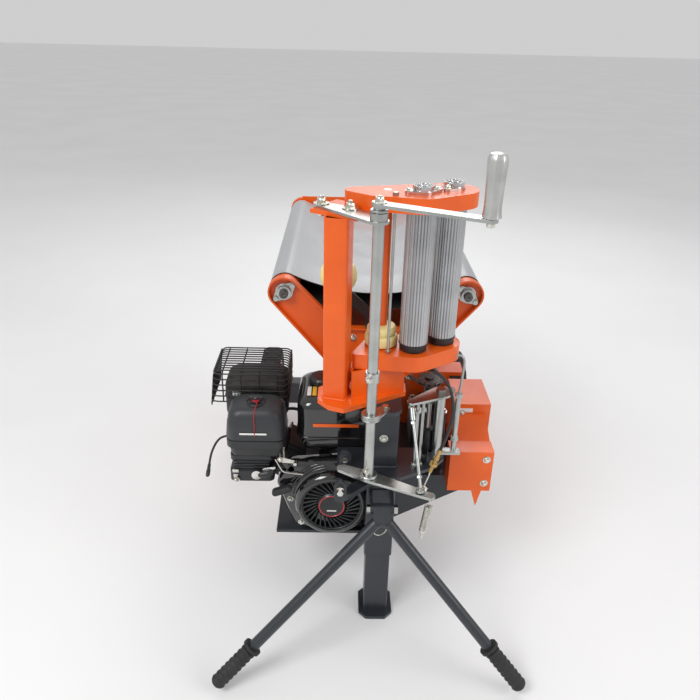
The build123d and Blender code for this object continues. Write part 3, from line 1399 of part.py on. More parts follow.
CHAIN_Z = TABLE_RING_Z + RING_T / 2
with BuildPart() as gearbox_sprocket:
    with BuildSketch(Plane.XY.offset(OUT_TOP + 40)):
        with Locations((DRIVEN_X, GEARBOX_Y)):
            Circle(12)
    extrude(amount=CHAIN_Z + 8 - OUT_TOP - 40)
    with BuildSketch(Plane.XY.offset(CHAIN_Z - 4)):
        with Locations((DRIVEN_X, GEARBOX_Y)):
            Circle(SPROCKET_R)
            with PolarLocations(SPROCKET_R + 1.5, 12):
                Circle(4.2, mode=Mode.SUBTRACT)
    extrude(amount=8)
gearbox_sprocket.part.label = "gearbox_sprocket"
export_step(gearbox_sprocket.part, "parts/gearbox_sprocket.step")

CHAIN_CLEAR = 0.8
CHAIN_T = 7.0
with BuildPart() as table_chain:
    with BuildSketch(Plane.XY.offset(CHAIN_Z - 4)):
        add(
            around(
                [(0, 0, RING_R + CHAIN_CLEAR + CHAIN_T), (DRIVEN_X, GEARBOX_Y, SPROCKET_R + CHAIN_CLEAR + CHAIN_T)]
            )
        )
        add(
            around([(0, 0, RING_R + CHAIN_CLEAR), (DRIVEN_X, GEARBOX_Y, SPROCKET_R + CHAIN_CLEAR)]),
            mode=Mode.SUBTRACT,
        )
    extrude(amount=8)
table_chain.part.label = "table_chain"
export_step(table_chain.part, "parts/table_chain.step")

with BuildPart() as driven_pulley:
    with BuildSketch(at_y(PULLEY_Y + PULLEY_T)):
        with Locations((DRIVEN_X, DRIVEN_Z)):
            Circle(DRIVEN_R)
    extrude(amount=PULLEY_T)
    with BuildSketch(at_y(groove_y + 5)):
        with Locations((DRIVEN_X, DRIVEN_Z)):
            Circle(DRIVEN_R + 1)
            Circle(DRIVEN_R - 7, mode=Mode.SUBTRACT)
    extrude(amount=10, mode=Mode.SUBTRACT)
    with BuildSketch(at_y(PULLEY_Y)):
        with Locations((DRIVEN_X, DRIVEN_Z)):
            Circle(12)
    extrude(amount=PULLEY_Y - (GEARBOX_Y + 46) - SOFT)
driven_pulley.part.label = "driven_pulley"
export_step(driven_pulley.part, "parts/driven_pulley.step")

BELT_GROOVE = 6.0
with BuildPart() as drive_belt:
    with BuildSketch(at_y(groove_y + 4.5)):
        add(
            around(
                [(CRANK_X, CRANK_AXIS_Z, ENGINE_PULLEY_R + 1), (DRIVEN_X, DRIVEN_Z, DRIVEN_R + 1)]
            )
        )
        add(
            around(
                [
                    (CRANK_X, CRANK_AXIS_Z, ENGINE_PULLEY_R - BELT_GROOVE),
                    (DRIVEN_X, DRIVEN_Z, DRIVEN_R - BELT_GROOVE),
                ]
            ),
            mode=Mode.SUBTRACT,
        )
    extrude(amount=9)
drive_belt.part.label = "drive_belt"
export_step(drive_belt.part, "parts/drive_belt.step")

# ---- guards ----
SHEET = 2.5


def hood(x0, x1, y0, y1, z0, z1, open_faces):
    """Sheet cover as a box with some faces left off, named by their outward directions."""
    sizes = [x1 - x0, y1 - y0, z1 - z0]
    lows = [x0, y0, z0]
    inner_low = [value + SHEET for value in lows]
    inner_high = [low + size - SHEET for low, size in zip(lows, sizes)]
    for axis, sign in open_faces:
        if sign < 0:
            inner_low[axis] = lows[axis] - 1
        else:
            inner_high[axis] = lows[axis] + sizes[axis] + 1
    with BuildPart() as cover:
        with BuildSketch(Plane.XY.offset(z0)):
            with Locations(((x0 + x1) / 2, (y0 + y1) / 2)):
                Rectangle(x1 - x0, y1 - y0)
        extrude(amount=z1 - z0)
        with BuildSketch(Plane.XY.offset(inner_low[2])):
            with Locations(((inner_low[0] + inner_high[0]) / 2, (inner_low[1] + inner_high[1]) / 2)):
                Rectangle(inner_high[0] - inner_low[0], inner_high[1] - inner_low[1])
        extrude(amount=inner_high[2] - inner_low[2], mode=Mode.SUBTRACT)
    return cover


LEFT, RIGHT, BACK, DOWN = (0, -1), (0, 1), (1, 1), (2, -1)
with BuildPart() as guard_rear:
    add(hood(86, 248, -268, -208, OUT_TOP, 490, [LEFT, BACK, DOWN]).part)
    with BuildSketch(at_y(-268)):
        with Locations((228, 466)):
            Rectangle(26, 22)
        with Locations((DRIVEN_X, DRIVEN_Z)):
            Circle(16)
    extrude(amount=-SHEET, mode=Mode.SUBTRACT)

with BuildPart() as guard_middle:
    add(hood(204, 292, -430, -300, OUT_TOP + 30, 487, [LEFT, BACK, DOWN]).part)
    with BuildSketch(Plane.XY.offset(OUT_TOP)):
        with Locations((222, -340)):
            Rectangle(36, SHEET)
    extrude(amount=157 - SHEET)

rear_guards = Compound(label="rear_guards", children=[guard_rear.part, guard_middle.part])
export_step(rear_guards, "parts/rear_guards.step")

with BuildPart() as guard_front:
    add(hood(180, 282, -556, OUT_Y - 8, 322, 432, [BACK, DOWN]).part)
    with BuildSketch(at_x(206)):
        with BuildLine():
            Polyline((OUT_Y - 8, 432), (-432, 462), (-432, 462 - SHEET), (OUT_Y - 8, 432 - SHEET), close=True)
        make_face()
    extrude(amount=74)
    with BuildSketch(at_y(-556 + SHEET)):
        with BuildLine():
            Polyline((238, 322), (262, 322), (252, 276), close=True)
        make_face()
    extrude(amount=SHEET)
guard_front.part.label = "guard_front"
export_step(guard_front.part, "parts/guard_front.step")
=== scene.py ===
"""Visual model of a small round-bale wrapping machine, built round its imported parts.

Everything is in metres in the machine's own frame: +Z up, +X to the operator's right, -Y towards the
operator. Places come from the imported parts' boxes and joints, so each new piece sits where its part does.
"""

import json
import logging
import math
from dataclasses import dataclass
from enum import Enum
from typing import Optional, Sequence

import bmesh
import bpy
import numpy as np
from mathutils import Matrix, Vector

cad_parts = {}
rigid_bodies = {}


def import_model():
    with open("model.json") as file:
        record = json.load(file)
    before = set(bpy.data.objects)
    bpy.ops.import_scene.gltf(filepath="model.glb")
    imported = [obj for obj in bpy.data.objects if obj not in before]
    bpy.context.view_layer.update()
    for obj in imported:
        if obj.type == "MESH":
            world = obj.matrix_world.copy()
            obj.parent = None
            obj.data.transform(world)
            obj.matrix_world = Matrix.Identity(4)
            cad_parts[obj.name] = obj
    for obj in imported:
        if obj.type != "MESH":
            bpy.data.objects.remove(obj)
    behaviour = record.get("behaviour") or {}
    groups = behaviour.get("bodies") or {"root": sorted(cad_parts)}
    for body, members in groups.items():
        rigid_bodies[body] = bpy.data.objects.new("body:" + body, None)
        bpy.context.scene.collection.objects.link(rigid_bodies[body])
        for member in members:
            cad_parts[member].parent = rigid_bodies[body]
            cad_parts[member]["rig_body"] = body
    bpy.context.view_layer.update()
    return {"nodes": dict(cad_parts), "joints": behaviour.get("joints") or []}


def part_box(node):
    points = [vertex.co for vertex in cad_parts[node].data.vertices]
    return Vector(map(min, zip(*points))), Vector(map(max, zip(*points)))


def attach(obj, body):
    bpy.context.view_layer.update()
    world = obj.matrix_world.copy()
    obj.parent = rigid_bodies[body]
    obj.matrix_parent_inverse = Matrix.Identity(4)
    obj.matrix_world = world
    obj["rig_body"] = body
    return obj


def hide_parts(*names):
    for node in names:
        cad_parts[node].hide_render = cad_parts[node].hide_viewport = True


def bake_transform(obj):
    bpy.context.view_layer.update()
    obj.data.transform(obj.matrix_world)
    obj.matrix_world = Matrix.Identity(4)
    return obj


Array = np.ndarray
Triple = tuple[float, float, float]

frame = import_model()
LOG = logging.getLogger("bale_wrapper")
TAU = 2 * math.pi
UP = np.array([0.0, 0.0, 1.0])
SHARP_ANGLE = math.radians(32)
MERGE = 0.000004  # vertices nearer than this are one
SLIVER = 0.000003  # edges shorter than this are dissolved
M6, M8 = 0.010, 0.013  # widths across flats of the hexagon heads
M10 = 0.017
M8_NUT, M10_NUT = 0.007, 0.009  # heights of nuts
SMALL_HEAD, MIDDLE_HEAD = 0.009, 0.011
PATCH_RANGE = (0.36, 0.66)  # noise values at which a finish's patches begin and are full
ROUGH_RANGE = (0.78, 1.28)  # factors on a finish's mean roughness
COAT_ROUGHNESS = 0.08
CORD_ORDER = 3
JOINT_AT = {joint["name"]: np.array(joint.get("pos_m", (0, 0, 0)), float) for joint in frame["joints"]}


def node_box(node: str) -> tuple[Array, Array]:
    """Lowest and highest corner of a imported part, as arrays in metres."""
    low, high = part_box(node)
    return np.array(low), np.array(high)


# ---------------------------------------------------------------- finishes


class Grain(Enum):
    """Small relief of a finish."""

    PEEL = "orange peel of sprayed paint"
    CAST = "skin of a sand casting"
    DRAWN = "fine lines of drawn or rolled metal"
    MOULDED = "spark-eroded texture of a mould"
    COATED = "faint weave under a plastic coating"


GRAIN_SCALE = {Grain.PEEL: 420.0, Grain.CAST: 700.0, Grain.DRAWN: 260.0, Grain.MOULDED: 1400.0,
               Grain.COATED: 900.0}
GRAIN_STRETCH = {Grain.DRAWN: (1.0, 1.0, 14.0)}


@dataclass(frozen=True)
class Finish:
    """One finish of a surface.

    Attributes:
        name: material name.
        colour: base colour, linear.
        second: colour that soft patches drift to.
        roughness: mean roughness.
        metallic: 1 for uncoated metal.
        coat: weight of a clear lacquer.
        grain: kind of small relief.
        relief: height of that relief in metres.
        patch: patches per metre.
        edge: how much edges are lightened towards edge_wear_and_highlight_colour, from 0 to 1; this is partly wear
            and partly painted highlight along the edges.
        edge_wear_and_highlight_colour: lighter colour of an edge, partly worn edge and partly painted highlight.
        rounding: radius that hard edges are shaded with, in metres.
    """

    name: str
    colour: Triple
    second: Triple
    roughness: float
    metallic: float = 0.0
    coat: float = 0.0
    grain: Grain = Grain.PEEL
    relief: float = 0.00002
    patch: float = 9.0
    edge: float = 0.0
    edge_wear_and_highlight_colour: Triple = (0.5, 0.5, 0.5)
    rounding: float = 0.0007

    def material(self) -> bpy.types.Material:
        """Returns the finish as a node material, made once."""
        found = bpy.data.materials.get(self.name)
        if found:
            return found
        made = bpy.data.materials.new(self.name)
        made.use_nodes = True
        tree = made.node_tree
        shader = tree.nodes["Principled BSDF"]
        place = tree.nodes.new("ShaderNodeTexCoord")
        patches = self._noise(tree, place.outputs["Object"], self.patch, 4.0)
        ramp = tree.nodes.new("ShaderNodeMapRange")
        ramp.inputs["From Min"].default_value, ramp.inputs["From Max"].default_value = PATCH_RANGE
        tree.links.new(patches, ramp.inputs["Value"])
        colour = self._blend(tree, ramp.outputs["Result"], self.colour, self.second)
        fine = self._grain(tree, place.outputs["Object"])
        bump = tree.nodes.new("ShaderNodeBump")
        bump.inputs["Strength"].default_value = 1.0
        bump.inputs["Distance"].default_value = self.relief
        tree.links.new(fine, bump.inputs["Height"])
        if self.rounding > 0:
            soft = tree.nodes.new("ShaderNodeBevel")
            soft.samples = 4
            soft.inputs["Radius"].default_value = self.rounding
            tree.links.new(soft.outputs["Normal"], bump.inputs["Normal"])
            # Edges lightened towards edge_wear_and_highlight_colour: partly wear, partly painted highlight.
            if self.edge > 0:
                colour = self._worn_and_highlit_edges(tree, colour, soft.outputs["Normal"], patches)
        tree.links.new(bump.outputs["Normal"], shader.inputs["Normal"])
        tree.links.new(colour, shader.inputs["Base Color"])
        rough = tree.nodes.new("ShaderNodeMapRange")
        rough.inputs["To Min"].default_value = max(0.03, self.roughness * ROUGH_RANGE[0])
        rough.inputs["To Max"].default_value = min(1.0, self.roughness * ROUGH_RANGE[1])
        smear = self._noise(tree, place.outputs["Object"], self.patch * 5, 6.0)
        tree.links.new(smear, rough.inputs["Value"])
        tree.links.new(rough.outputs["Result"], shader.inputs["Roughness"])
        shader.inputs["Metallic"].default_value = self.metallic
        shader.inputs["Coat Weight"].default_value = self.coat
        shader.inputs["Coat Roughness"].default_value = COAT_ROUGHNESS
        return made

    @staticmethod
    def _noise(tree: bpy.types.NodeTree, where: bpy.types.NodeSocket, scale: float, detail: float):
        """Returns the value of a noise of that many features per metre."""
        noise = tree.nodes.new("ShaderNodeTexNoise")
        noise.inputs["Scale"].default_value = scale
        noise.inputs["Detail"].default_value = detail
        tree.links.new(where, noise.inputs["Vector"])
        return noise.outputs["Fac"]

    @staticmethod
    def _blend(tree: bpy.types.NodeTree, amount: bpy.types.NodeSocket, first: object, second: object):
        """Returns a colour that goes from first to second; either may be a colour or a socket."""
        mix = tree.nodes.new("ShaderNodeMix")
        mix.data_type = "RGBA"
        tree.links.new(amount, mix.inputs["Factor"])
        for value, socket in ((first, mix.inputs["A"]), (second, mix.inputs["B"])):
            if isinstance(value, tuple):
                socket.default_value = (*value, 1.0)
            else:
                tree.links.new(value, socket)
        return mix.outputs["Result"]

    def _grain(self, tree: bpy.types.NodeTree, where: bpy.types.NodeSocket) -> bpy.types.NodeSocket:
        """Returns the height of the small relief."""
        stretch = tree.nodes.new("ShaderNodeMapping")
        stretch.inputs["Scale"].default_value = GRAIN_STRETCH.get(self.grain, (1.0, 1.0, 1.0))
        tree.links.new(where, stretch.inputs["Vector"])
        return self._noise(tree, stretch.outputs["Vector"], GRAIN_SCALE[self.grain], 3.0)

    def _worn_and_highlit_edges(self, tree, colour, soft_normal, patches) -> bpy.types.NodeSocket:
        """Returns the colour with lightened edges, partly wear and partly painted highlight; the edges are where
        the rounded normal leaves the true one.
        """
        true = tree.nodes.new("ShaderNodeNewGeometry")
        agree = tree.nodes.new("ShaderNodeVectorMath")
        agree.operation = "DOT_PRODUCT"
        tree.links.new(soft_normal, agree.inputs[0])
        tree.links.new(true.outputs["Normal"], agree.inputs[1])
        # Edge mask: where edges take the lighter colour, partly wear and partly painted highlight.
        worn_and_highlit_edge = tree.nodes.new("ShaderNodeMapRange")
        worn_and_highlit_edge.inputs["From Min"].default_value = 0.97
        worn_and_highlit_edge.inputs["From Max"].default_value = 0.80
        worn_and_highlit_edge.inputs["To Max"].default_value = self.edge
        tree.links.new(agree.outputs["Value"], worn_and_highlit_edge.inputs["Value"])
        broken = tree.nodes.new("ShaderNodeMath")
        broken.operation = "MULTIPLY"
        tree.links.new(worn_and_highlit_edge.outputs["Result"], broken.inputs[0])
        tree.links.new(patches, broken.inputs[1])
        return self._blend(tree, broken.outputs["Value"], colour, self.edge_wear_and_highlight_colour)


# The edge colours below are lighter than the body colours: partly worn edges and partly painted highlight along
# edges.
ORANGE = Finish("orange_powder_coat", (0.82, 0.118, 0.004), (0.74, 0.096, 0.003), 0.36, coat=0.06,
                edge=0.45, edge_wear_and_highlight_colour=(0.95, 0.36, 0.12), relief=0.00003)
CHASSIS = Finish("slate_powder_coat", (0.023, 0.027, 0.034), (0.017, 0.021, 0.027), 0.36, coat=0.2,
                 edge=0.5, edge_wear_and_highlight_colour=(0.22, 0.24, 0.27), relief=0.00004)
BLACK_PAINT = Finish("black_stove_enamel", (0.012, 0.012, 0.013), (0.022, 0.021, 0.021), 0.38,
                     edge=0.4, edge_wear_and_highlight_colour=(0.10, 0.10, 0.10))
ZINC = Finish("zinc_plate", (0.50, 0.515, 0.50), (0.40, 0.415, 0.395), 0.30, metallic=1.0, grain=Grain.DRAWN,
              relief=0.000012, patch=26.0, edge=0.5, edge_wear_and_highlight_colour=(0.85, 0.85, 0.84))
BRIGHT_ZINC = Finish("bright_zinc_bolts", (0.72, 0.72, 0.70), (0.60, 0.58, 0.50), 0.22, metallic=1.0,
                     grain=Grain.DRAWN, relief=0.000008, patch=60.0, rounding=0.0004)
STEEL = Finish("oiled_steel", (0.16, 0.155, 0.15), (0.10, 0.095, 0.09), 0.34, metallic=1.0, grain=Grain.DRAWN,
               relief=0.00002, patch=34.0, edge=0.4, edge_wear_and_highlight_colour=(0.45, 0.44, 0.42))
CHROME = Finish("ground_chrome_steel", (0.74, 0.74, 0.75), (0.60, 0.60, 0.61), 0.14, metallic=1.0,
                grain=Grain.DRAWN, relief=0.000006, patch=40.0)
ALLOY = Finish("extruded_aluminium", (0.52, 0.525, 0.535), (0.44, 0.445, 0.455), 0.30, metallic=1.0,
               relief=0.000004, patch=14.0, rounding=0.0)
CAST_ALLOY = Finish("cast_aluminium", (0.66, 0.66, 0.65), (0.55, 0.55, 0.54), 0.34, metallic=1.0,
                    grain=Grain.CAST, relief=0.00001, patch=30.0)
BLACK_CAST = Finish("black_engine_casting", (0.016, 0.016, 0.017), (0.03, 0.03, 0.03), 0.46,
                    grain=Grain.CAST, relief=0.00012, edge=0.4, edge_wear_and_highlight_colour=(0.12, 0.12, 0.12))
GLOSS_BLACK = Finish("gloss_black_enamel", (0.006, 0.006, 0.007), (0.009, 0.009, 0.010), 0.10, coat=1.0,
                     relief=0.00001)
SATIN_BLACK = Finish("satin_black_plastic", (0.016, 0.017, 0.019), (0.024, 0.025, 0.027), 0.34,
                     grain=Grain.MOULDED, relief=0.00004)
RUBBER = Finish("moulded_black_rubber", (0.014, 0.014, 0.015), (0.026, 0.026, 0.026), 0.62,
                grain=Grain.MOULDED,
                relief=0.00006, patch=22.0)
TYRE = Finish("treaded_tyre_rubber", (0.018, 0.018, 0.018), (0.035, 0.033, 0.030), 0.72, grain=Grain.CAST,
              relief=0.00008, patch=14.0)
NYLON = Finish("pale_yellow_nylon", (0.84, 0.72, 0.32), (0.78, 0.66, 0.28), 0.44, grain=Grain.MOULDED,
               relief=0.00005, patch=20.0)
BELT_FACE = Finish("grey_belt_face", (0.36, 0.37, 0.385), (0.33, 0.34, 0.355), 0.30, coat=0.25,
                   grain=Grain.COATED, relief=0.000006, patch=5.0, rounding=0.0)
# Black back of the belt; its dark colour also stands for the shade inside the belt loop, so it is partly painted
# shade.
BELT_BACK_AND_LOOP_SHADE = Finish("black_belt_back", (0.016, 0.016, 0.018), (0.026, 0.026, 0.028), 0.55, grain=Grain.COATED,
                   relief=0.00006, patch=12.0, rounding=0.0)
BRASS = Finish("turned_brass", (0.62, 0.42, 0.14), (0.50, 0.33, 0.11), 0.26, metallic=1.0, grain=Grain.DRAWN,
               relief=0.00001, patch=50.0)
RED_CORD = Finish("red_string", (0.50, 0.015, 0.02), (0.36, 0.01, 0.015), 0.6, grain=Grain.COATED,
                  relief=0.00005, patch=200.0, rounding=0.0)
WHITE_LABEL = Finish("plain_white_label", (0.78, 0.78, 0.76), (0.74, 0.74, 0.71), 0.40, grain=Grain.MOULDED,
                     relief=0.00001, rounding=0.0)
YELLOW_LABEL = Finish("plain_yellow_label", (0.80, 0.46, 0.02), (0.76, 0.42, 0.02), 0.40, grain=Grain.MOULDED,
                      relief=0.00001, rounding=0.0)
RED_BADGE = Finish("red_badge_ring", (0.50, 0.01, 0.02), (0.42, 0.01, 0.015), 0.24, coat=0.6,
                   grain=Grain.MOULDED, relief=0.00001)
FLOOR = Finish("pale_floor", (0.86, 0.86, 0.86), (0.83, 0.83, 0.835), 0.65, grain=Grain.CAST, relief=0.0001,
               patch=1.4, rounding=0.0)
COVER_GREY = Finish("dark_grey_cover", (0.034, 0.036, 0.040), (0.028, 0.030, 0.034), 0.38,
                    grain=Grain.MOULDED,
                    relief=0.00005)
HEAT_BLACK = Finish("heat_proof_black", (0.020, 0.019, 0.019), (0.045, 0.038, 0.032), 0.55, grain=Grain.CAST,
                    relief=0.00006, patch=24.0, edge=0.5, edge_wear_and_highlight_colour=(0.16, 0.13, 0.10))
RED_RIM = Finish("orange_rim_paint", (0.74, 0.11, 0.014), (0.66, 0.09, 0.012), 0.34, coat=0.2, edge=0.4,
                 edge_wear_and_highlight_colour=(0.9, 0.3, 0.1))

# ---------------------------------------------------------------- shapes


def grid_quads(rows: int, columns: int, wrap_rows: bool, wrap_columns: bool) -> Array:
    """Corner numbers of the quads of a grid of vertices.

    Args:
        rows: number of rows of vertices.
        columns: number of vertices in a row.
        wrap_rows: whether the last row joins the first.
        wrap_columns: whether a row's end joins its start.

    Returns:
        One row of four vertex numbers for each quad: (i, j), (i, j+1), (i+1, j+1), (i+1, j).
    """
    row, column = np.meshgrid(
        np.arange(rows if wrap_rows else rows - 1),
        np.arange(columns if wrap_columns else columns - 1),
        indexing="ij",
    )
    below, right = (row + 1) % rows, (column + 1) % columns
    corners = (row * columns + column, row * columns + right, below * columns + right,
               below * columns + column)
    return np.stack(corners, axis=-1).reshape(-1, 4)


@dataclass
class Shape:
    """Vertices and faces of one closed surface, before it is a Blender mesh."""

    points: Array
    faces: list[Sequence[int]]
    slots: Optional[Array] = None


def joined(shapes: Sequence[Shape]) -> Shape:
    """Several shapes as one, each face's numbers shifted by the points before it."""
    starts = np.cumsum([0] + [len(shape.points) for shape in shapes[:-1]])
    faces = [[int(start + v) for v in face] for shape, start in zip(shapes, starts) for face in shape.faces]
    return Shape(np.concatenate([shape.points for shape in shapes]), faces)


def surface(grid: Array, wrap_rows: bool = False, wrap_columns: bool = True, capped: bool = True) -> Shape:
    """Shape of a grid of points, its open ends closed by flat caps.

    Args:
        grid: points as rows, columns, 3.
        wrap_rows: whether the last row joins the first.
        wrap_columns: whether each row is a ring.
        capped: whether the first and last ring are filled.

    Returns:
        The shape.
    """
    rows, columns = grid.shape[:2]
    faces = grid_quads(rows, columns, wrap_rows, wrap_columns).tolist()
    if capped and not wrap_rows:
        faces.append(list(range(columns - 1, -1, -1)))
        faces.append(list(range((rows - 1) * columns, rows * columns)))
    return Shape(grid.reshape(-1, 3), faces)


def basis(axis: Sequence[float]) -> tuple[Array, Array, Array]:
    """Unit vectors across, over and along an axis; across lies level where it can."""
    along = np.array(axis, float) / np.linalg.norm(axis)
    level = np.cross(UP, along) if abs(along[2]) < 0.95 else np.array([1.0, 0.0, 0.0])
    across = level / np.linalg.norm(level)
    return across, np.cross(along, across), along


def lathe(at: Sequence[float], axis: Sequence[float], profile: Sequence[tuple[float, float]],
          sides: int = 48, ring: Optional[Array] = None) -> Shape:
    """Turned shape: point = at + r·ring(u)·(across·cos u + over·sin u) + h·along.

    Args:
        at: origin of the heights.
        axis: axis of turning.
        profile: (radius, height) pairs from one end to the other.
        sides: number of steps round.
        ring: radius factor at each step, for a shape that isn't round.

    Returns:
        The closed shape, its ends capped.
    """
    across, over, along = basis(axis)
    turn = np.arange(sides) * TAU / sides
    factor = np.ones(sides) if ring is None else ring
    spokes = np.outer(np.cos(turn), across) + np.outer(np.sin(turn), over)
    radius, height = np.array(profile, float).T
    grid = radius[:, None, None] * (spokes * factor[:, None])[None] + height[:, None, None] * along
    return surface(grid + np.array(at, float))


def washer(at: Sequence[float], axis: Sequence[float], outer: float, inner: float, depth: float,
           sides: int = 40, soften: float = 0.08) -> Shape:
    """Ring of rectangular section with softened corners, closed round on itself."""
    s = soften * min(depth, outer - inner)
    section = [(inner, s), (inner + s, 0), (outer - s, 0), (outer, s), (outer, depth - s), (outer - s, depth),
               (inner + s, depth), (inner, depth - s)]
    across, over, along = basis(axis)
    turn = np.arange(sides) * TAU / sides
    spokes = np.outer(np.cos(turn), across) + np.outer(np.sin(turn), over)
    radius, height = np.array(section).T
    grid = radius[:, None, None] * spokes[None] + height[:, None, None] * along + np.array(at, float)
    return surface(grid, wrap_rows=True)


def sweep(path: Array, section: Array, closed: bool = False, turn: Optional[Array] = None,
          grow: Optional[Array] = None, up: Sequence[float] = (0.13, 0.29, 0.95)) -> Shape:
    """Section carried along a path: point = path(t) + x·side(t) + y·over(t).

    Args:
        path: points of the path, n by 3.
        section: outline of the section, m by 2.
        closed: whether the path ends where it starts.
        turn: angle that the section is turned by at each point.
        grow: factor on the section at each point.
        up: direction that the section's second axis leans to.

    Returns:
        The shape, capped unless the path is closed.
    """
    if closed:
        tangent = np.roll(path, -1, 0) - np.roll(path, 1, 0)
    else:
        tangent = np.gradient(path, axis=0)
    tangent /= np.linalg.norm(tangent, axis=1, keepdims=True)
    side = np.cross(tangent, np.array(up, float))
    side /= np.linalg.norm(side, axis=1, keepdims=True)
    over = np.cross(side, tangent)
    x, y = section[:, 0][None], section[:, 1][None]
    if turn is not None:
        cos, sin = np.cos(turn)[:, None], np.sin(turn)[:, None]
        x, y = x * cos - y * sin, x * sin + y * cos
    if grow is not None:
        x, y = x * grow[:, None], y * grow[:, None]
    x, y = np.broadcast_to(x, (len(path), len(section))), np.broadcast_to(y, (len(path), len(section)))
    grid = path[:, None] + x[..., None] * side[:, None] + y[..., None] * over[:, None]
    return surface(grid, wrap_rows=closed)


def disc(radius: float, sides: int = 16) -> Array:
    """Round section: (r·cos u, r·sin u)."""
    turn = np.arange(sides) * TAU / sides
    return radius * np.stack([np.cos(turn), np.sin(turn)], axis=1)


def bent(corners: Sequence[Sequence[float]], radius: float, steps: int = 8) -> Array:
    """Path of straight runs with each corner rounded by a quadratic curve.

    Args:
        corners: points where the runs meet.
        radius: how far from a corner its rounding starts.
        steps: points on each rounding.

    Returns:
        The path: (1-t)²·before + 2t(1-t)·corner + t²·after at every corner.
    """
    points = [np.array(p, float) for p in corners]
    path = [points[0][None]]
    t = np.linspace(0, 1, steps)[:, None]
    for before, here, after in zip(points, points[1:], points[2:]):
        reach = min(radius, 0.45 * np.linalg.norm(here - before), 0.45 * np.linalg.norm(after - here))
        start = here + (before - here) / np.linalg.norm(before - here) * reach
        end = here + (after - here) / np.linalg.norm(after - here) * reach
        path.append((1 - t) ** 2 * start + 2 * t * (1 - t) * here + t**2 * end)
    path.append(points[-1][None])
    return np.concatenate(path)


def rod(corners: Sequence[Sequence[float]], radius: float, bend: float = 0.01, sides: int = 14) -> Shape:
    """Round bar or wire along straight runs with rounded bends."""
    return sweep(bent(corners, bend), disc(radius, sides))


def coil(start: Sequence[float], end: Sequence[float], radius: float, wire: float, turns: float) -> Shape:
    """Close coil spring: start + along·L·t + radius·(across·cos 2πnt + over·sin 2πnt)."""
    first, last = np.array(start, float), np.array(end, float)
    across, over, along = basis(last - first)
    t = np.linspace(0, 1, int(turns * 16))
    angle = TAU * turns * t
    path = first + np.outer(t, last - first)
    path = path + radius * (np.outer(np.cos(angle), across) + np.outer(np.sin(angle), over))
    return sweep(path, disc(wire, 8), up=along)


def rounded_outline(half_x: Array, half_y: Array, corner: Array, steps: int = 7) -> Array:
    """Rounded rectangles, one for each entry: corner centre + r·(cos u, sin u) over four quarters."""
    quarter = np.linspace(0, math.pi / 2, steps)
    turn = np.concatenate([quarter + k * math.pi / 2 for k in range(4)])
    sign_x = np.repeat([1, -1, -1, 1], steps)
    sign_y = np.repeat([1, 1, -1, -1], steps)
    corner = np.minimum(corner, np.minimum(half_x, half_y) * 0.999)
    x = sign_x * (half_x - corner)[:, None] + corner[:, None] * np.cos(turn)
    y = sign_y * (half_y - corner)[:, None] + corner[:, None] * np.sin(turn)
    return np.stack([x, y], axis=-1)


def stacked(centre: Sequence[float], levels: Sequence[tuple[float, float, float, float]],
            axes: Sequence[Sequence[float]] = ((1, 0, 0), (0, 1, 0), (0, 0, 1)), steps: int = 7) -> Shape:
    """Body whose level sections are rounded rectangles.

    Args:
        centre: origin of the levels.
        levels: (height, half width, half depth, corner radius) from one end to the other.
        axes: directions of width, depth and height.
        steps: points on each corner.

    Returns:
        The closed shape: centre + x·width + y·depth + h·height.
    """
    height, half_x, half_y, corner = np.array(levels, float).T
    outline = rounded_outline(half_x, half_y, corner, steps)
    width, depth, rise = np.array(axes, float)
    grid = outline[..., 0:1] * width + outline[..., 1:2] * depth + height[:, None, None] * rise
    return surface(grid + np.array(centre, float))


def slab(centre: Sequence[float], half: Sequence[float], corner: float, edge: float,
         axes: Sequence[Sequence[float]] = ((1, 0, 0), (0, 1, 0), (0, 0, 1))) -> Shape:
    """Block with rounded upright corners and a quarter-round of radius edge along its top and bottom."""
    hx, hy, hz = half
    quarter = np.linspace(0, math.pi / 2, 4)
    inset = edge * (1 - np.sin(quarter))
    drop = edge * (1 - np.cos(quarter))
    low = [(-hz + d, hx - i, hy - i, max(corner - i, 0.0002)) for i, d in zip(inset, drop)]
    high = [(-h, x, y, c) for h, x, y, c in reversed(low)]
    return stacked(centre, low + high, axes)


def hull_outline(discs: Sequence[tuple[float, float, float]], steps: int = 96) -> Array:
    """Outline drawn tightly round discs: at angle u, the furthest disc gives c + r·(cos u, sin u)."""
    centres = np.array(discs, float)
    turn = np.arange(steps) * TAU / steps
    ways = np.stack([np.cos(turn), np.sin(turn)], axis=1)
    reach = ways @ centres[:, :2].T + centres[:, 2]
    best = reach.argmax(1)
    return centres[best, :2] + centres[best, 2:3] * ways


def plate(outline: Array, at: Sequence[float], axes: Sequence[Sequence[float]], depth: float,
          edge: float = 0.0006) -> Shape:
    """Flat plate of a convex outline, from at along the third axis by depth, with eased edges."""
    width, height, along = np.array(axes, float)
    centre = outline.mean(0)
    size = np.abs(outline - centre).max()
    levels = np.array([0, edge, depth - edge, depth])
    scale = np.array([1 - edge / size, 1, 1, 1 - edge / size])
    flat = centre + (outline - centre)[None] * scale[:, None, None]
    grid = flat[..., 0:1] * width + flat[..., 1:2] * height + levels[:, None, None] * along
    return surface(grid + np.array(at, float))


FACING = ((1, 0, 0), (0, 0, 1), (0, -1, 0))  # width to the right, height up, depth towards the operator


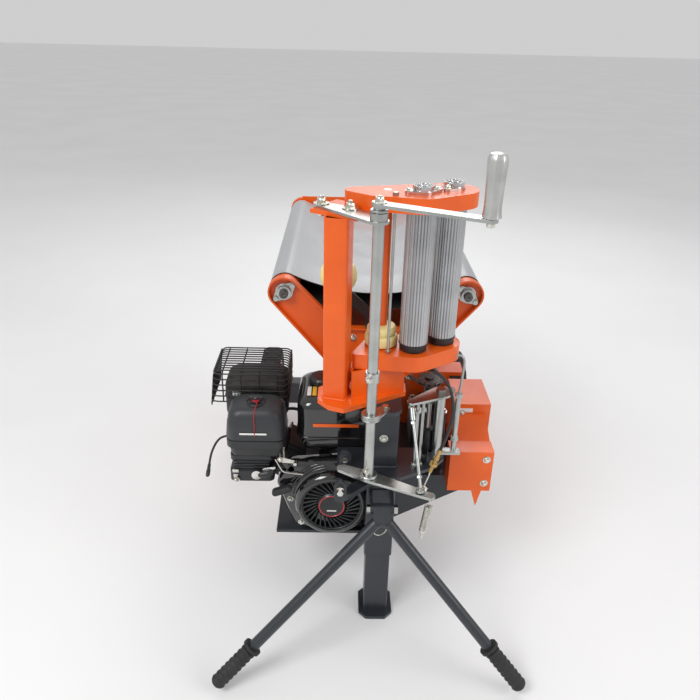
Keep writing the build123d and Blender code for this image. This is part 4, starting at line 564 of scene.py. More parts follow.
def hexagon(at: Sequence[float], axis: Sequence[float], across: float, height: float) -> Shape:
    """Hexagon head or nut, its corners turned down at the free end."""
    turn = np.arange(24) * TAU / 24
    ring = np.cos(math.pi / 6) / np.cos((turn + math.pi / 6) % (math.pi / 3) - math.pi / 6)
    ring = ring / ring.min()
    half = across / 2
    base = lathe(at, axis, [(half, 0), (half, height * 0.82)], 24, ring)
    crown = lathe(at, axis, [(half, height * 0.82), (half * 0.93, height)], 24)
    rows = np.concatenate([base.points, crown.points[24:]]).reshape(3, 24, 3)
    return surface(rows)


def bolt(at: Sequence[float], axis: Sequence[float], across: float) -> Shape:
    """Hexagon bolt head on a plain washer, sized from the width across its flats."""
    along = np.array(axis, float) / np.linalg.norm(axis)
    thick = across * 0.12
    ring = washer(at, axis, across * 0.86, across * 0.25, thick, 28)
    head = hexagon(np.array(at, float) + along * thick, axis, across, across * 0.52)
    end = np.array(at, float) + along * (thick + across * 0.52)
    stub = lathe(end, axis, [(across * 0.30, -0.0005), (across * 0.30, across * 0.10),
                             (across * 0.24, across * 0.16)], 20)
    return joined([ring, head, stub])


def weld_bead(path: Array, radius: float, ripple: float = 0.004) -> Shape:
    """Weld bead along a path, swelling by a tenth at every ripple of its length."""
    length = np.concatenate([[0], np.cumsum(np.linalg.norm(np.diff(path, axis=0), axis=1))])
    count = max(12, int(length[-1] / (ripple / 5)))
    even = np.linspace(0, length[-1], count)
    line = np.stack([np.interp(even, length, path[:, k]) for k in range(3)], axis=1)
    grow = 1 + 0.12 * np.sin(TAU * even / ripple) + 0.05 * np.sin(TAU * even / (ripple * 3.7))
    return sweep(line, disc(radius, 8), grow=grow)


# ---------------------------------------------------------------- making pieces


def piece(name: str, shape: Shape, finish: Finish, body: str, replaces: Sequence[str] = (),
          smooth: bool = True, sharp: float = SHARP_ANGLE, more: Sequence[Finish] = ()) -> bpy.types.Object:
    """Makes one visible piece.

    Args:
        name: the piece's name.
        shape: its vertices and faces in the machine's frame.
        finish: its finish.
        body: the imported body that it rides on.
        replaces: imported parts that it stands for.
        smooth: whether its curved faces are shaded smooth.
        sharp: angle past which an edge stays sharp.
        more: further finishes, for the numbers in shape.slots.

    Returns:
        The object, at the origin.
    """
    mesh = bpy.data.meshes.new(name)
    mesh.from_pydata(shape.points.tolist(), [], [tuple(f) for f in shape.faces])
    if shape.slots is not None:
        mesh.polygons.foreach_set("material_index", shape.slots.astype(np.int32))
    work = bmesh.new()
    work.from_mesh(mesh)
    bmesh.ops.remove_doubles(work, verts=work.verts, dist=MERGE)
    bmesh.ops.dissolve_degenerate(work, edges=work.edges, dist=SLIVER)
    bmesh.ops.recalc_face_normals(work, faces=work.faces)
    work.to_mesh(mesh)
    work.free()
    mesh.polygons.foreach_set("use_smooth", np.full(len(mesh.polygons), smooth))
    mesh.set_sharp_from_angle(angle=sharp)
    made = bpy.data.objects.new(name, mesh)
    bpy.context.scene.collection.objects.link(made)
    for each in (finish, *more):
        mesh.materials.append(each.material())
    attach(made, body)
    if replaces:
        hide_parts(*replaces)
    LOG.info("%s: %d faces on %s", name, len(mesh.polygons), body)
    return made


# ---------------------------------------------------------------- roller table


@dataclass
class RollerTable:
    """Turning table: sagging belt on two rollers, bearings, end stop and the bolts of the end plates."""

    belt_thickness: float = 0.0022
    leave_top: float = math.radians(25)
    leave_low: float = math.radians(8)
    ripple: float = 0.0011
    inner_ring: Triple = (0.0155, 0.0106, 0.0035)  # outer and inner radius, depth
    collar: Triple = (0.0205, 0.0172, 0.0032)
    foot_bolts: tuple[float, ...] = (-0.036, 0.036)
    side_bolts: tuple[float, ...] = (-0.052, 0.052)
    body: str = "table"

    def belt_line(self, radius: float, x: float, z: float) -> Array:
        """Closed line of the belt round both rollers.

        Args:
            radius: distance of the line from a roller's axis.
            x: half the distance between the axes.
            z: height of the axes.

        Returns:
            Points (x, z): two sagging arcs tangent to two wraps round the rollers.
        """
        top_x, top_z = x - radius * math.sin(self.leave_top), z + radius * math.cos(self.leave_top)
        low_x, low_z = x + radius * math.sin(self.leave_low), z - radius * math.cos(self.leave_low)
        top_r, low_r = top_x / math.sin(self.leave_top), low_x / math.sin(self.leave_low)
        top = np.linspace(-self.leave_top, self.leave_top, 56, endpoint=False)
        wrap = np.linspace(math.pi / 2 + self.leave_top, self.leave_low - math.pi / 2, 30, endpoint=False)
        low = np.linspace(self.leave_low, -self.leave_low, 32, endpoint=False)
        left = np.linspace(3 * math.pi / 2 - self.leave_low, math.pi / 2 - self.leave_top, 30, endpoint=False)
        runs = [
            np.stack([top_r * np.sin(top), top_z + top_r * math.cos(self.leave_top) - top_r * np.cos(top)],
                     1),
            np.stack([x + radius * np.cos(wrap), z + radius * np.sin(wrap)], 1),
            np.stack([low_r * np.sin(low), low_z + low_r * math.cos(self.leave_low) - low_r * np.cos(low)],
                     1),
            np.stack([-x + radius * np.cos(left), z + radius * np.sin(left)], 1),
        ]
        return np.concatenate(runs)

    def belt(self) -> None:
        """Belt as one closed sheet, grey outside and black inside, its free runs faintly rippled; the black inside
        is partly the belt's dark back and partly painted shade of the loop's interior.

        Formula: outer(t, y) = line(t) - |ripple·sin(46x + 1.3·sin 9y)·cos(23y + 0.6)| on the free runs,
        and the inner face follows a line nearer the rollers by the belt's thickness.
        """
        low, high = node_box("bale_belt")
        x, z = JOINT_AT["roller_right_turn"][0], JOINT_AT["roller_right_turn"][2]
        radius = high[0] - x
        outer, inner = self.belt_line(radius, x, z), self.belt_line(radius - self.belt_thickness, x, z)
        across = np.linspace(low[1], high[1], 60)
        free = np.clip((x - np.abs(outer[:, 0])) / x * 2.2, 0, 1)[:, None]
        phase = outer[:, 0:1] * 46 + np.sin(across * 9.0)[None] * 1.3
        lift = self.ripple * free * np.sin(phase) * np.cos(across * 23 + 0.6)[None]
        face = np.empty((len(outer), len(across), 3))
        back = face.copy()
        for side, line in ((face, outer), (back, inner)):
            side[..., 0] = line[:, 0:1]
            side[..., 1] = across
            side[..., 2] = line[:, 1:2] - np.abs(lift)
        grid = np.concatenate([face, back[:, ::-1]], axis=1)
        shape = surface(grid, wrap_rows=True, wrap_columns=True)
        column = np.tile(np.arange(grid.shape[1]), len(grid))
        # Slot 1 is the black inner face: partly the belt's dark back, partly painted shade inside the loop.
        shape.slots = (column >= len(across) - 1).astype(int)
        piece("belt_sheet", shape, BELT_FACE, self.body, ["bale_belt"], more=[BELT_BACK_AND_LOOP_SHADE])

    def end_stop(self) -> None:
        """Barrel-shaped nylon roller of the end stop, with its washer and bolt."""
        low, high = node_box("end_stop_roller")
        centre, radius, height = (low + high) / 2, (high[0] - low[0]) / 2, high[2] - low[2]
        t = np.linspace(0, 1, 22)
        swell = radius * (0.80 + 0.20 * np.sin(np.pi * t) ** 0.7)
        profile = [(0.0085, 0.0)] + list(zip(swell, t * height)) + [(0.0085, height)]
        body = "end_stop_roller"
        at = (centre[0], centre[1], low[2])
        piece("stop_roller", lathe(at, UP, profile, 64), NYLON, body, ["end_stop_roller"])
        top = (centre[0], centre[1], high[2] + 0.0052)
        piece("stop_roller_bolt", bolt(top, UP, M8), BRIGHT_ZINC, self.body)
        arm_low, arm_high = node_box("end_stop_arm")
        start = np.array([arm_high[0] - 0.004, arm_low[1] + 0.052, arm_low[2] + 0.012])
        end = start + np.array([0.0, -0.052, 0.028])
        rod_shape = rod([start, end], 0.004)
        nuts = [hexagon(start + (end - start) * k, end - start, 0.013, 0.006) for k in (0.25, 0.62)]
        piece("stop_rod", joined([rod_shape, *nuts]), ZINC, self.body)

    def bearings(self) -> None:
        """Inner rings, locking collars and shaft ends of the four flange bearings."""
        low, high = node_box("table_bearings")
        for end, face in ((-1, low[1]), (1, high[1])):
            for joint in ("roller_left_turn", "roller_right_turn"):
                x, _, z = JOINT_AT[joint]
                at = (x, face - end * 0.012, z)
                side = f"{'front' if end < 0 else 'rear'}_{joint.split('_')[1]}"
                rings = [
                    washer(at, (0, end, 0), *self.inner_ring),
                    washer((x, face - end * 0.016, z), (0, end, 0), *self.collar),
                ]
                piece(f"bearing_ring_{side}", joined(rings), CHROME, self.body)
                tip = (x, face, z)
                shaft = [(0.0103, -0.012), (0.0103, 0.0074), (0.0092, 0.0088), (0.003, 0.0088),
                         (0.0014, 0.0074)]
                piece(f"shaft_end_{side}", lathe(tip, (0, end, 0), shaft, 32), STEEL, f"table_{joint[:-5]}")

    def plates(self) -> None:
        """Bolts through the foot and the sides of the end plates."""
        low, high = node_box("table_frame")
        for end, y in ((-1, low[1]), (1, high[1])):
            face = y + end * 0.005
            places = [(x, face, z) for x in self.foot_bolts for z in (0.556, 0.588)]
            heads = [bolt(place, (0, end, 0), M8) for place in places]
            heads += [bolt((x, face, 0.637), (0, end, 0), MIDDLE_HEAD) for x in self.side_bolts]
            piece(f"plate_bolts_{'front' if end < 0 else 'rear'}", joined(heads), BRIGHT_ZINC, self.body)

    def build(self) -> None:
        """Builds every piece of the table."""
        self.belt()
        self.end_stop()
        self.bearings()
        self.plates()


@dataclass
class TableDrive:
    """Roller chain round the table's sprocket, with its links as separate plates and pins."""

    pitch: float = 0.0127
    plate: float = 0.0011
    link_radius: float = 0.0033
    levels: tuple[float, float] = (0.0021, 0.0033)
    pin_radius: float = 0.0018
    pin_half: float = 0.0038
    belt_depth: float = 0.006
    belt_steps: int = 400

    def chain(self) -> None:
        """Links along the line round both sprockets: outer and inner plates by turns, and their pins."""
        table, box_at = JOINT_AT["table_turn"], JOINT_AT["gearbox_sprocket_turn"]
        low, high = node_box("table_chain")
        big = high[1] - 0.0035
        small_low, small_high = node_box("gearbox_sprocket")
        small = (small_high[0] - small_low[0]) / 2 + 0.0035
        outline = hull_outline([(table[0], table[1], big), (box_at[0], box_at[1], small)], 720)
        outline = np.concatenate([outline, outline[:1]])
        run = np.concatenate([[0], np.cumsum(np.linalg.norm(np.diff(outline, axis=0), axis=1))])
        count = int(round(run[-1] / self.pitch / 2)) * 2
        spots = np.linspace(0, run[-1], count + 1)
        x, y = np.interp(spots, run, outline[:, 0]), np.interp(spots, run, outline[:, 1])
        middle = (low[2] + high[2]) / 2
        link = hull_outline([(0, 0, self.link_radius), (self.pitch, 0, self.link_radius)], 14)
        links, pins = [], []
        for k in range(count):
            start, end = np.array([x[k], y[k], middle]), np.array([x[k + 1], y[k + 1], middle])
            way = (end - start) / np.linalg.norm(end - start)
            side = np.cross(UP, way)
            level = self.levels[k % 2]
            for sign in (-1, 1):
                at = start + UP * (sign * level - self.plate / 2)
                links.append(plate(link, at, (way, side, UP), self.plate, 0.0002))
            pins.append(lathe(start - UP * self.pin_half, UP,
                              [(self.pin_radius, 0), (self.pin_radius, 2 * self.pin_half)], 8))
        piece("chain_links", joined(links), STEEL, "chassis", ["table_chain"])
        piece("chain_pins", joined(pins), CHROME, "chassis")

    def drive_belt(self) -> None:
        """Vee belt round the engine's and the gearbox's pulleys, its section narrower towards the inside."""
        first, second = JOINT_AT["crankshaft_turn"], JOINT_AT["driven_pulley_turn"]
        low, high = node_box("drive_belt")
        big = high[2] - second[2]
        small = first[0] - low[0]
        outline = hull_outline([(first[0], first[2], small), (second[0], second[2], big)], self.belt_steps)
        y = (low[1] + high[1]) / 2
        inner = hull_outline([(first[0], first[2], small - self.belt_depth),
                              (second[0], second[2], big - self.belt_depth)], self.belt_steps)
        section = [(outline, -0.0044), (outline, 0.0044), (inner, 0.0028), (inner, -0.0028)]
        grid = np.stack([np.stack([line[:, 0], np.full(self.belt_steps, y + off), line[:, 1]], 1) for line,
                         off in section], 1)
        piece("vee_belt", surface(grid, wrap_rows=True), RUBBER, "chassis", ["drive_belt"])

    def build(self) -> None:
        """Builds the chain and the belt."""
        self.chain()
        self.drive_belt()


# ---------------------------------------------------------------- film unit


@dataclass
class FilmUnit:
    """Film post, stretching rollers, spindle and the screws that hold them."""

    flutes: int = 30
    flute_depth: float = 0.0019
    roller_radius: float = 0.030
    roller_top: float = 1.006
    bore: float = 0.0085
    gear_low: float = 1.0145
    gear_high: float = 1.0255
    steps: int = 12
    body: str = "chassis"

    def rollers(self) -> None:
        """Fluted aluminium rollers: radius(u) = R - depth·groove(u), with black feet, shafts and gears."""
        for name in ("film_roller_a", "film_roller_b"):
            at = JOINT_AT[f"{name}_turn"]
            low, high = node_box(name)
            radius, bottom, top = self.roller_radius, low[2] + 0.016, self.roller_top
            turn = np.arange(self.flutes * self.steps) * TAU / (self.flutes * self.steps)
            groove = np.clip(1.6 * np.cos(turn * self.flutes) - 0.55, 0, 1)
            ring = 1 - self.flute_depth / radius * groove
            profile = [(radius * 0.90, bottom), (radius, bottom + 0.001), (radius, top - 0.001),
                       (radius * 0.90, top)]
            shell = lathe((at[0], at[1], 0), UP, profile, len(ring), ring)
            piece(f"{name}_extrusion", shell, ALLOY, name, [name], sharp=math.radians(50))
            disc_low = [(self.bore, bottom - 0.0034), (radius * 0.93, bottom - 0.0034),
                        (radius * 1.03, bottom - 0.0024),
                        (radius * 1.03, bottom - 0.0003), (self.bore, bottom - 0.0003)]
            skirt_low = node_box("lower_arm")[1][2] + 0.0014
            skirt = washer((at[0], at[1], skirt_low), UP, 0.0285, 0.0255, bottom - 0.0033 - skirt_low, 64)
            disc = lathe((at[0], at[1], 0), UP, disc_low, 64)
            piece(f"{name}_base_disc", joined([disc, skirt]), BLACK_PAINT, name)
            shaft = [(0.008, low[2] + 0.0005), (0.008, high[2] - 0.001), (0.007, high[2]), (0.002, high[2])]
            piece(f"{name}_shaft", lathe((at[0], at[1], 0), UP, shaft, 32), CHROME, name)
            gear_r = (high[0] - low[0]) / 2 - 0.0006
            teeth = int(round(gear_r / 0.00125))
            angle = np.arange(teeth * 8) * TAU / (teeth * 8)
            tooth = 1 - 0.0026 / gear_r * (0.5 - 0.5 * np.clip(1.8 * np.cos(angle * teeth), -1, 1))
            wheel = [(gear_r * 0.4, self.gear_low), (gear_r, self.gear_low), (gear_r, self.gear_high),
                     (gear_r * 0.4, self.gear_high)]
            piece(f"{name}_gear", lathe((at[0], at[1], 0), UP, wheel, len(tooth), tooth), STEEL, name)

    def bearings(self) -> None:
        """Chrome rings of the bearings on the upper arm, and the screws in their flanges."""
        _, high = node_box("film_bearings")
        for name, spin in (("a", 20.0), ("b", 60.0)):
            at = JOINT_AT[f"film_roller_{name}_turn"]
            place = np.array([at[0], at[1], high[2]])
            rings = [washer(place - UP * 0.006, UP, 0.0205, 0.0165, 0.0072),
                     washer(place - UP * 0.003, UP, 0.0125, 0.0084, 0.006)]
            piece(f"film_bearing_rings_{name}", joined(rings), CHROME, self.body)
            angle = math.radians(spin)
            way = np.array([math.cos(angle), math.sin(angle), 0])
            heads = [bolt(place + way * reach - UP * 0.0084, UP, M6) for reach in (-0.030, 0.030)]
            piece(f"film_bearing_bolts_{name}", joined(heads), BRIGHT_ZINC, self.body)

    def spindle(self) -> None:
        """Nylon cone that centres the film's core: two stepped discs with rounded rims; orange tube."""
        low, high = node_box("film_cone")
        centre, radius, height = (low + high) / 2, (high[0] - low[0]) / 2, high[2] - low[2]
        profile = [(self.bore, 0), (0.93, 0), (0.985, 0.04), (1.0, 0.12), (1.0, 0.34), (0.985, 0.44),
                   (0.93, 0.50),
                   (0.80, 0.52), (0.80, 0.58), (0.88, 0.62), (0.90, 0.70), (0.885, 0.84), (0.80, 0.95),
                   (0.62, 1.0)]
        turned = [(self.bore, 0)] + [(r * radius, h * height) for r, h in profile[1:]] + [(self.bore, height)]
        at = (centre[0], centre[1], low[2])
        piece("film_core_cone", lathe(at, UP, turned, 72), NYLON, "film_spindle", ["film_cone"])
        tube_low, tube_high = node_box("spindle_tube")
        tube = [(self.bore, tube_low[2]), (0.011, tube_low[2]), (0.011, tube_high[2] - 0.001),
                (0.010, tube_high[2]),
                (self.bore, tube_high[2])]
        middle = (tube_low + tube_high) / 2
        piece("film_core_tube", lathe((middle[0], middle[1], 0), UP, tube, 48), ORANGE, "film_spindle",
              ["spindle_tube"])

    def fasteners(self) -> None:
        """Bolts and nuts of the head plate, and weld beads round the foot of the post."""
        _, high = node_box("shaft_brackets")
        plate_top = high[2] - 0.014
        heads = []
        for x, y in ((-0.122, -0.583), (-0.067, -0.616)):
            heads.append(lathe((x, y, plate_top), UP, [(0.0155, 0), (0.0155, 0.0022)], 32))
            heads.append(hexagon((x, y, plate_top + 0.0022), UP, M10, M10_NUT))
            heads.append(lathe((x, y, plate_top + 0.011), UP, [(0.005, 0), (0.005, 0.004), (0.004, 0.005)],
                               20))
            heads.append(hexagon((x, y, 1.0018), -UP, M10, M10_NUT))
        piece("head_plate_bolts", joined(heads), BRIGHT_ZINC, self.body)
        arm_low, _ = node_box("upper_arm")
        under = [hexagon((x, y, arm_low[2] + 0.0238), -UP, M8, M8_NUT) for x,
                 y in ((0.071, -0.555), (0.134, -0.515))]
        piece("upper_arm_nuts", joined(under), BRIGHT_ZINC, self.body)
        turn = math.radians(-14)
        axes = np.array([[math.cos(turn), math.sin(turn), 0], [-math.sin(turn), math.cos(turn), 0]])
        outline = rounded_outline(np.array([0.0245]), np.array([0.0245]), np.array([0.005]))[0]
        ring = np.array([-0.088, -0.618, 0.6187]) + outline @ axes
        ring = np.concatenate([ring, ring[:1]])
        piece("post_weld", weld_bead(ring, 0.0026), ORANGE, self.body)

    def build(self) -> None:
        """Builds every piece of the film unit."""
        self.rollers()
        self.bearings()
        self.spindle()
        self.fasteners()


# ---------------------------------------------------------------- control linkage


@dataclass
class ControlLinkage:
    """Crank shaft with collars and handle, link rod, spring, cable and the small rods beside the column."""

    lever_turn: float = math.radians(-27)
    lever_reach: float = 0.140
    link_reach: float = 0.118
    stop_reach: float = 0.062
    spring_lean: Triple = (-14.0, -10.0, -92.0)
    spring_span: tuple[float, float] = (0.010, 0.070)
    spring_radius: float = 0.0072
    spring_wire: float = 0.0013
    spring_turns: int = 20
    sheath_radius: float = 0.0035

    def point(self, reach: float, z: float) -> Array:
        """Point on the levers' centre line at a distance from the shaft's axis."""
        at = JOINT_AT["control_crank_turn"]
        return np.array([at[0] + reach * math.cos(self.lever_turn),
                         at[1] + reach * math.sin(self.lever_turn), z])

    def shaft(self) -> None:
        """Collars and washers on the shaft, its two side bolts and the bolt on top of the crank."""
        at = JOINT_AT["control_crank_turn"]
        _, high = node_box("control_shaft")
        rings = []
        for z, outer, depth in ((0.690, 0.0145, 0.022), (0.6135, 0.020, 0.004), (0.604, 0.020, 0.0035),
                                (0.4625, 0.019, 0.006), (1.030, 0.0165, 0.0045)):
            rings.append(washer((at[0], at[1], z), UP, outer, 0.0107, depth, 48, 0.2))
        piece("shaft_collars", joined(rings), ZINC, "control_shaft")
        way = self.point(1.0, 0) - self.point(0.0, 0)
        side = np.cross(UP, way)
        pin = [bolt((at[0], at[1], 0.701) - side * 0.0145, -side, SMALL_HEAD)]
        pin.append(bolt((at[0], at[1], 0.482) - side * 0.0107, -side, SMALL_HEAD))
        crank_top = high[2] - 0.102
        pin.append(bolt((at[0], at[1], crank_top), UP, 0.016))
        piece("shaft_bolts", joined(pin), BRIGHT_ZINC, "control_shaft")

    def handle(self) -> None:
        """Tapered eight-sided crank handle with rounded facets and a domed end."""
        low, high = node_box("crank_grip")
        centre = (low + high) / 2
        height = high[2] - low[2]
        radius = (high[0] - low[0]) / 2
        t = np.array([0, 0.015, 0.10, 0.20, 0.55, 0.86, 0.91, 0.955, 0.985, 1.0])
        r = np.array([0.86, 0.98, 0.90, 0.86, 0.92, 1.0, 0.985, 0.90, 0.76, 0.50])
        turn = np.arange(64) * TAU / 64
        facet = np.cos(math.pi / 8) / np.cos((turn + math.pi / 8) % (math.pi / 4) - math.pi / 8)
        ring = 0.35 + 0.65 * facet / facet.max()
        profile = [(0.0052, 0)] + list(zip(r * radius, t * height)) + [(0.001, height)]
        grip = lathe((centre[0], centre[1], low[2]), UP, profile, 64, ring)
        piece("crank_handle", grip, CAST_ALLOY, "crank_grip", ["crank_grip"])
        foot = (centre[0], centre[1], low[2] - 0.0085)
        piece("crank_handle_nut", hexagon(foot, -UP, M8, M8_NUT), BRIGHT_ZINC, "control_shaft")

    def link(self) -> None:
        """Link rod with a threaded lower end, lock nuts and a joint head with its split pin."""
        low, high = node_box("link_rod")
        foot = self.point(self.link_reach, low[2])
        tip = np.array([0.070, -0.642, high[2] - 0.004])
        start = foot + UP * 0.014
        way = (tip - start) / np.linalg.norm(tip - start)
        shank = rod([start, tip - way * 0.002], 0.0035)
        parts = [shank, hexagon(start + way * 0.022, way, 0.011, 0.006),
                 hexagon(tip - way * 0.040, way, 0.011, 0.006)]
        parts.append(sweep(np.stack([tip - way * 0.032, tip - way * 0.006]), disc(0.0062, 20)))
        parts.append(lathe(foot - UP * 0.004, UP, [(0.004, 0), (0.004, 0.022)], 20))
        parts.append(lathe(foot + UP * 0.008, UP, [(0.009, 0), (0.0095, 0.0012), (0.0095, 0.0052),
                                                   (0.009, 0.0064)], 28))
        parts.append(hexagon(tip, -UP, M8, M8_NUT))
        piece("link_rod_with_ends", joined(parts), ZINC, "control_shaft", ["link_rod"])
        pin = rod([foot + (-0.008, 0, 0.017), foot + (0.010, 0, 0.017), foot + (0.015, 0.002, 0.014)], 0.0011)
        piece("link_split_pin", pin, BRIGHT_ZINC, "control_shaft")

    def spring(self) -> None:
        """Return spring as a real coil between two hooked rods."""
        _, high = node_box("return_spring")
        end = self.point(self.lever_reach, high[2] - 0.002)
        lean = np.array(self.spring_lean) / np.linalg.norm(self.spring_lean)
        eye = end - UP * 0.008
        first, last = (eye + lean * reach for reach in self.spring_span)
        turns = coil(first, last, self.spring_radius, self.spring_wire, self.spring_turns)
        hooks = [
            rod([end + (0, 0, 0.007), end, eye, first + lean * 0.004], 0.0015, 0.006),
            rod([last - lean * 0.004, last + lean * 0.018], 0.0034, 0.004),
            lathe(last - lean * 0.002, lean, [(0.0058, 0), (0.0064, 0.002), (0.0064, 0.006),
                                              (0.0046, 0.010)], 20),
        ]
        piece("return_spring_coil", joined([turns, *hooks]), BRIGHT_ZINC, "control_shaft", ["return_spring"])

    def small_rods(self) -> None:
        """Zinc rods, their nuts and foot plate, and the damper between the gusset and the indicator lever."""
        low, _ = node_box("indicator_lever")
        gusset = 0.445
        spots = ((0.086, -0.628, 0.0042), (0.098, -0.622, 0.0042), (0.116, -0.586, 0.0055))
        parts = []
        for x, y, radius in spots:
            parts.append(lathe((x, y, gusset), UP, [(radius, 0), (radius, low[2] - gusset - 0.004)], 20))
            parts.append(hexagon((x, y, gusset), UP, radius * 3.4, radius * 1.5))
            parts.append(hexagon((x, y, low[2] - 0.030), UP, radius * 3.4, radius * 1.5))
        piece("adjusting_rods", joined(parts), ZINC, "chassis")
        damper = [(0.004, 0), (0.0125, 0.0005), (0.0135, 0.003), (0.0135, 0.060), (0.0125, 0.064),
                  (0.006, 0.066)]
        piece("damper_body", lathe((0.116, -0.586, 0.452), UP, damper, 40), SATIN_BLACK, "chassis")
        wire = rod([(0.156, -0.566, 0.690), (0.182, -0.570, 0.690), (0.186, -0.573, 0.676),
                    (0.182, -0.580, 0.625),
                    (0.178, -0.585, 0.600)], 0.0028, 0.008)
        post = [(0.006, 0.0), (0.006, 0.135), (0.0055, 0.137)]
        foot = np.array([0.178, -0.588, 0.462])
        rod_parts = [wire, lathe(foot, UP, post, 20), hexagon(foot + UP * 0.136, UP, 0.016, 0.009),
                     hexagon(foot + UP * 0.026, UP, 0.016, 0.009)]
        rod_parts.append(slab((0.156, -0.592, 0.459), (0.036, 0.011, 0.003), 0.003, 0.0008))
        piece("film_sensor_rods", joined(rod_parts), ZINC, "chassis")

    def cable(self) -> None:
        """Control cable: black sheath as one smooth spline, brass adjuster, bracket and white inner wire."""
        points = [(0.055, -0.580, 0.664), (0.086, -0.586, 0.668), (0.122, -0.600, 0.668),
                  (0.152, -0.622, 0.644),
                  (0.160, -0.644, 0.600), (0.152, -0.660, 0.556), (0.136, -0.664, 0.512)]
        sheath = spline_cord("control_cable_sheath", points, self.sheath_radius, SATIN_BLACK, "chassis",
                             ["cable_sheath"])
        end, before = np.array(points[-1]), np.array(points[-2])
        way = (end - before) / np.linalg.norm(end - before)
        stages = [(0.005, 0), (0.005, 0.010), (0.0038, 0.011), (0.0038, 0.050), (0.0044, 0.051),
                  (0.0044, 0.058),
                  (0.002, 0.058)]
        parts = [lathe(end, way, stages, 24), hexagon(end + way * 0.034, way, 0.017, 0.008),
                 hexagon(end + way * 0.020, way, 0.012, 0.006)]
        piece("cable_adjuster_brass", joined(parts), BRASS, "chassis", ["cable_adjuster"])
        bracket = [slab((0.120, -0.622, 0.462), (0.006, 0.004, 0.017), 0.001, 0.0006),
                   slab((0.123, -0.640, 0.475), (0.007, 0.022, 0.004), 0.002, 0.0006)]
        piece("cable_bracket", joined(bracket), CHASSIS, "chassis")
        tip = end + way * 0.056
        clamp = self.point(self.link_reach + 0.004, 0.4655) + np.array([0.004, 0.014, 0.0])
        wire = rod([tip, tip + way * 0.006 + (0, -0.006, 0), clamp], 0.0013, 0.012, 10)
        made = free_piece("cable_inner_wire", wire, WHITE_LABEL)
        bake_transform(made)
        piece("cable_wire_clamp", joined([bolt(clamp - (0, 0, 0.004), UP, M6)]), BRIGHT_ZINC, "control_shaft")

    def stop(self) -> None:
        """Adjusting screw with its lock nut in the stop bracket."""
        at = JOINT_AT["control_crank_turn"]
        screw = [(0.004, 0), (0.004, 0.034), (0.003, 0.036)]
        seat = np.array([at[0] - self.stop_reach * math.cos(self.lever_turn) - 0.004, -0.745, 0.460 - 0.0015])
        parts = [lathe(seat, (0, 1, 0), screw, 20), hexagon(seat + (0, 0.006, 0), (0, 1, 0), 0.014, 0.007)]
        piece("stop_screw_thread", joined(parts), BRIGHT_ZINC, "chassis")

    def build(self) -> None:
        """Builds every piece of the linkage."""
        self.shaft()
        self.handle()
        self.link()
        self.spring()
        self.small_rods()
        self.cable()
        self.stop()


def free_piece(name: str, shape: Shape, finish: Finish) -> bpy.types.Object:
    """Makes a piece that rides on no body."""
    made = piece(name, shape, finish, "chassis")
    made.parent = None
    if "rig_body" in made:
        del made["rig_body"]
    return made


def spline_cord(name: str, points: Sequence[Triple], radius: float, finish: Finish, body: str,
                replaces: Sequence[str] = ()) -> bpy.types.Object:
    """Cord as one NURBS spline drawn by its control points, with a round bevel."""
    curve = bpy.data.curves.new(name, "CURVE")
    curve.dimensions = "3D"
    spline = curve.splines.new("NURBS")
    spline.points.add(len(points) - 1)
    spline.points.foreach_set("co", [value for point in points for value in (*point, 1.0)])
    spline.order_u = CORD_ORDER
    spline.use_endpoint_u = True
    spline.resolution_u = 12
    curve.bevel_depth = radius
    curve.bevel_resolution = 4
    curve.use_fill_caps = True
    made = bpy.data.objects.new(name, curve)
    bpy.context.scene.collection.objects.link(made)
    curve.materials.append(finish.material())
    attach(made, body)
    if replaces:
        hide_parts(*replaces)
    return made


# ---------------------------------------------------------------- engine


def eased(height: float, half_x: float, half_y: float, corner: float, edge: float, foot: float = 0.0,
          steps: int = 6) -> list[tuple[float, float, float, float]]:
    """Levels of a body from 0 to height whose top edge is a quarter round and whose foot may be one too."""
    quarter = np.linspace(0, math.pi / 2, steps)
    levels = [(foot * (1 - math.cos(a)), half_x - foot * (1 - math.sin(a)),
               half_y - foot * (1 - math.sin(a)), corner)
              for a in quarter] if foot else [(0.0, half_x, half_y, corner)]
    levels += [(height - edge * (1 - math.sin(a)), half_x - edge * (1 - math.cos(a)),
                half_y - edge * (1 - math.cos(a)), corner) for a in quarter]
    return levels


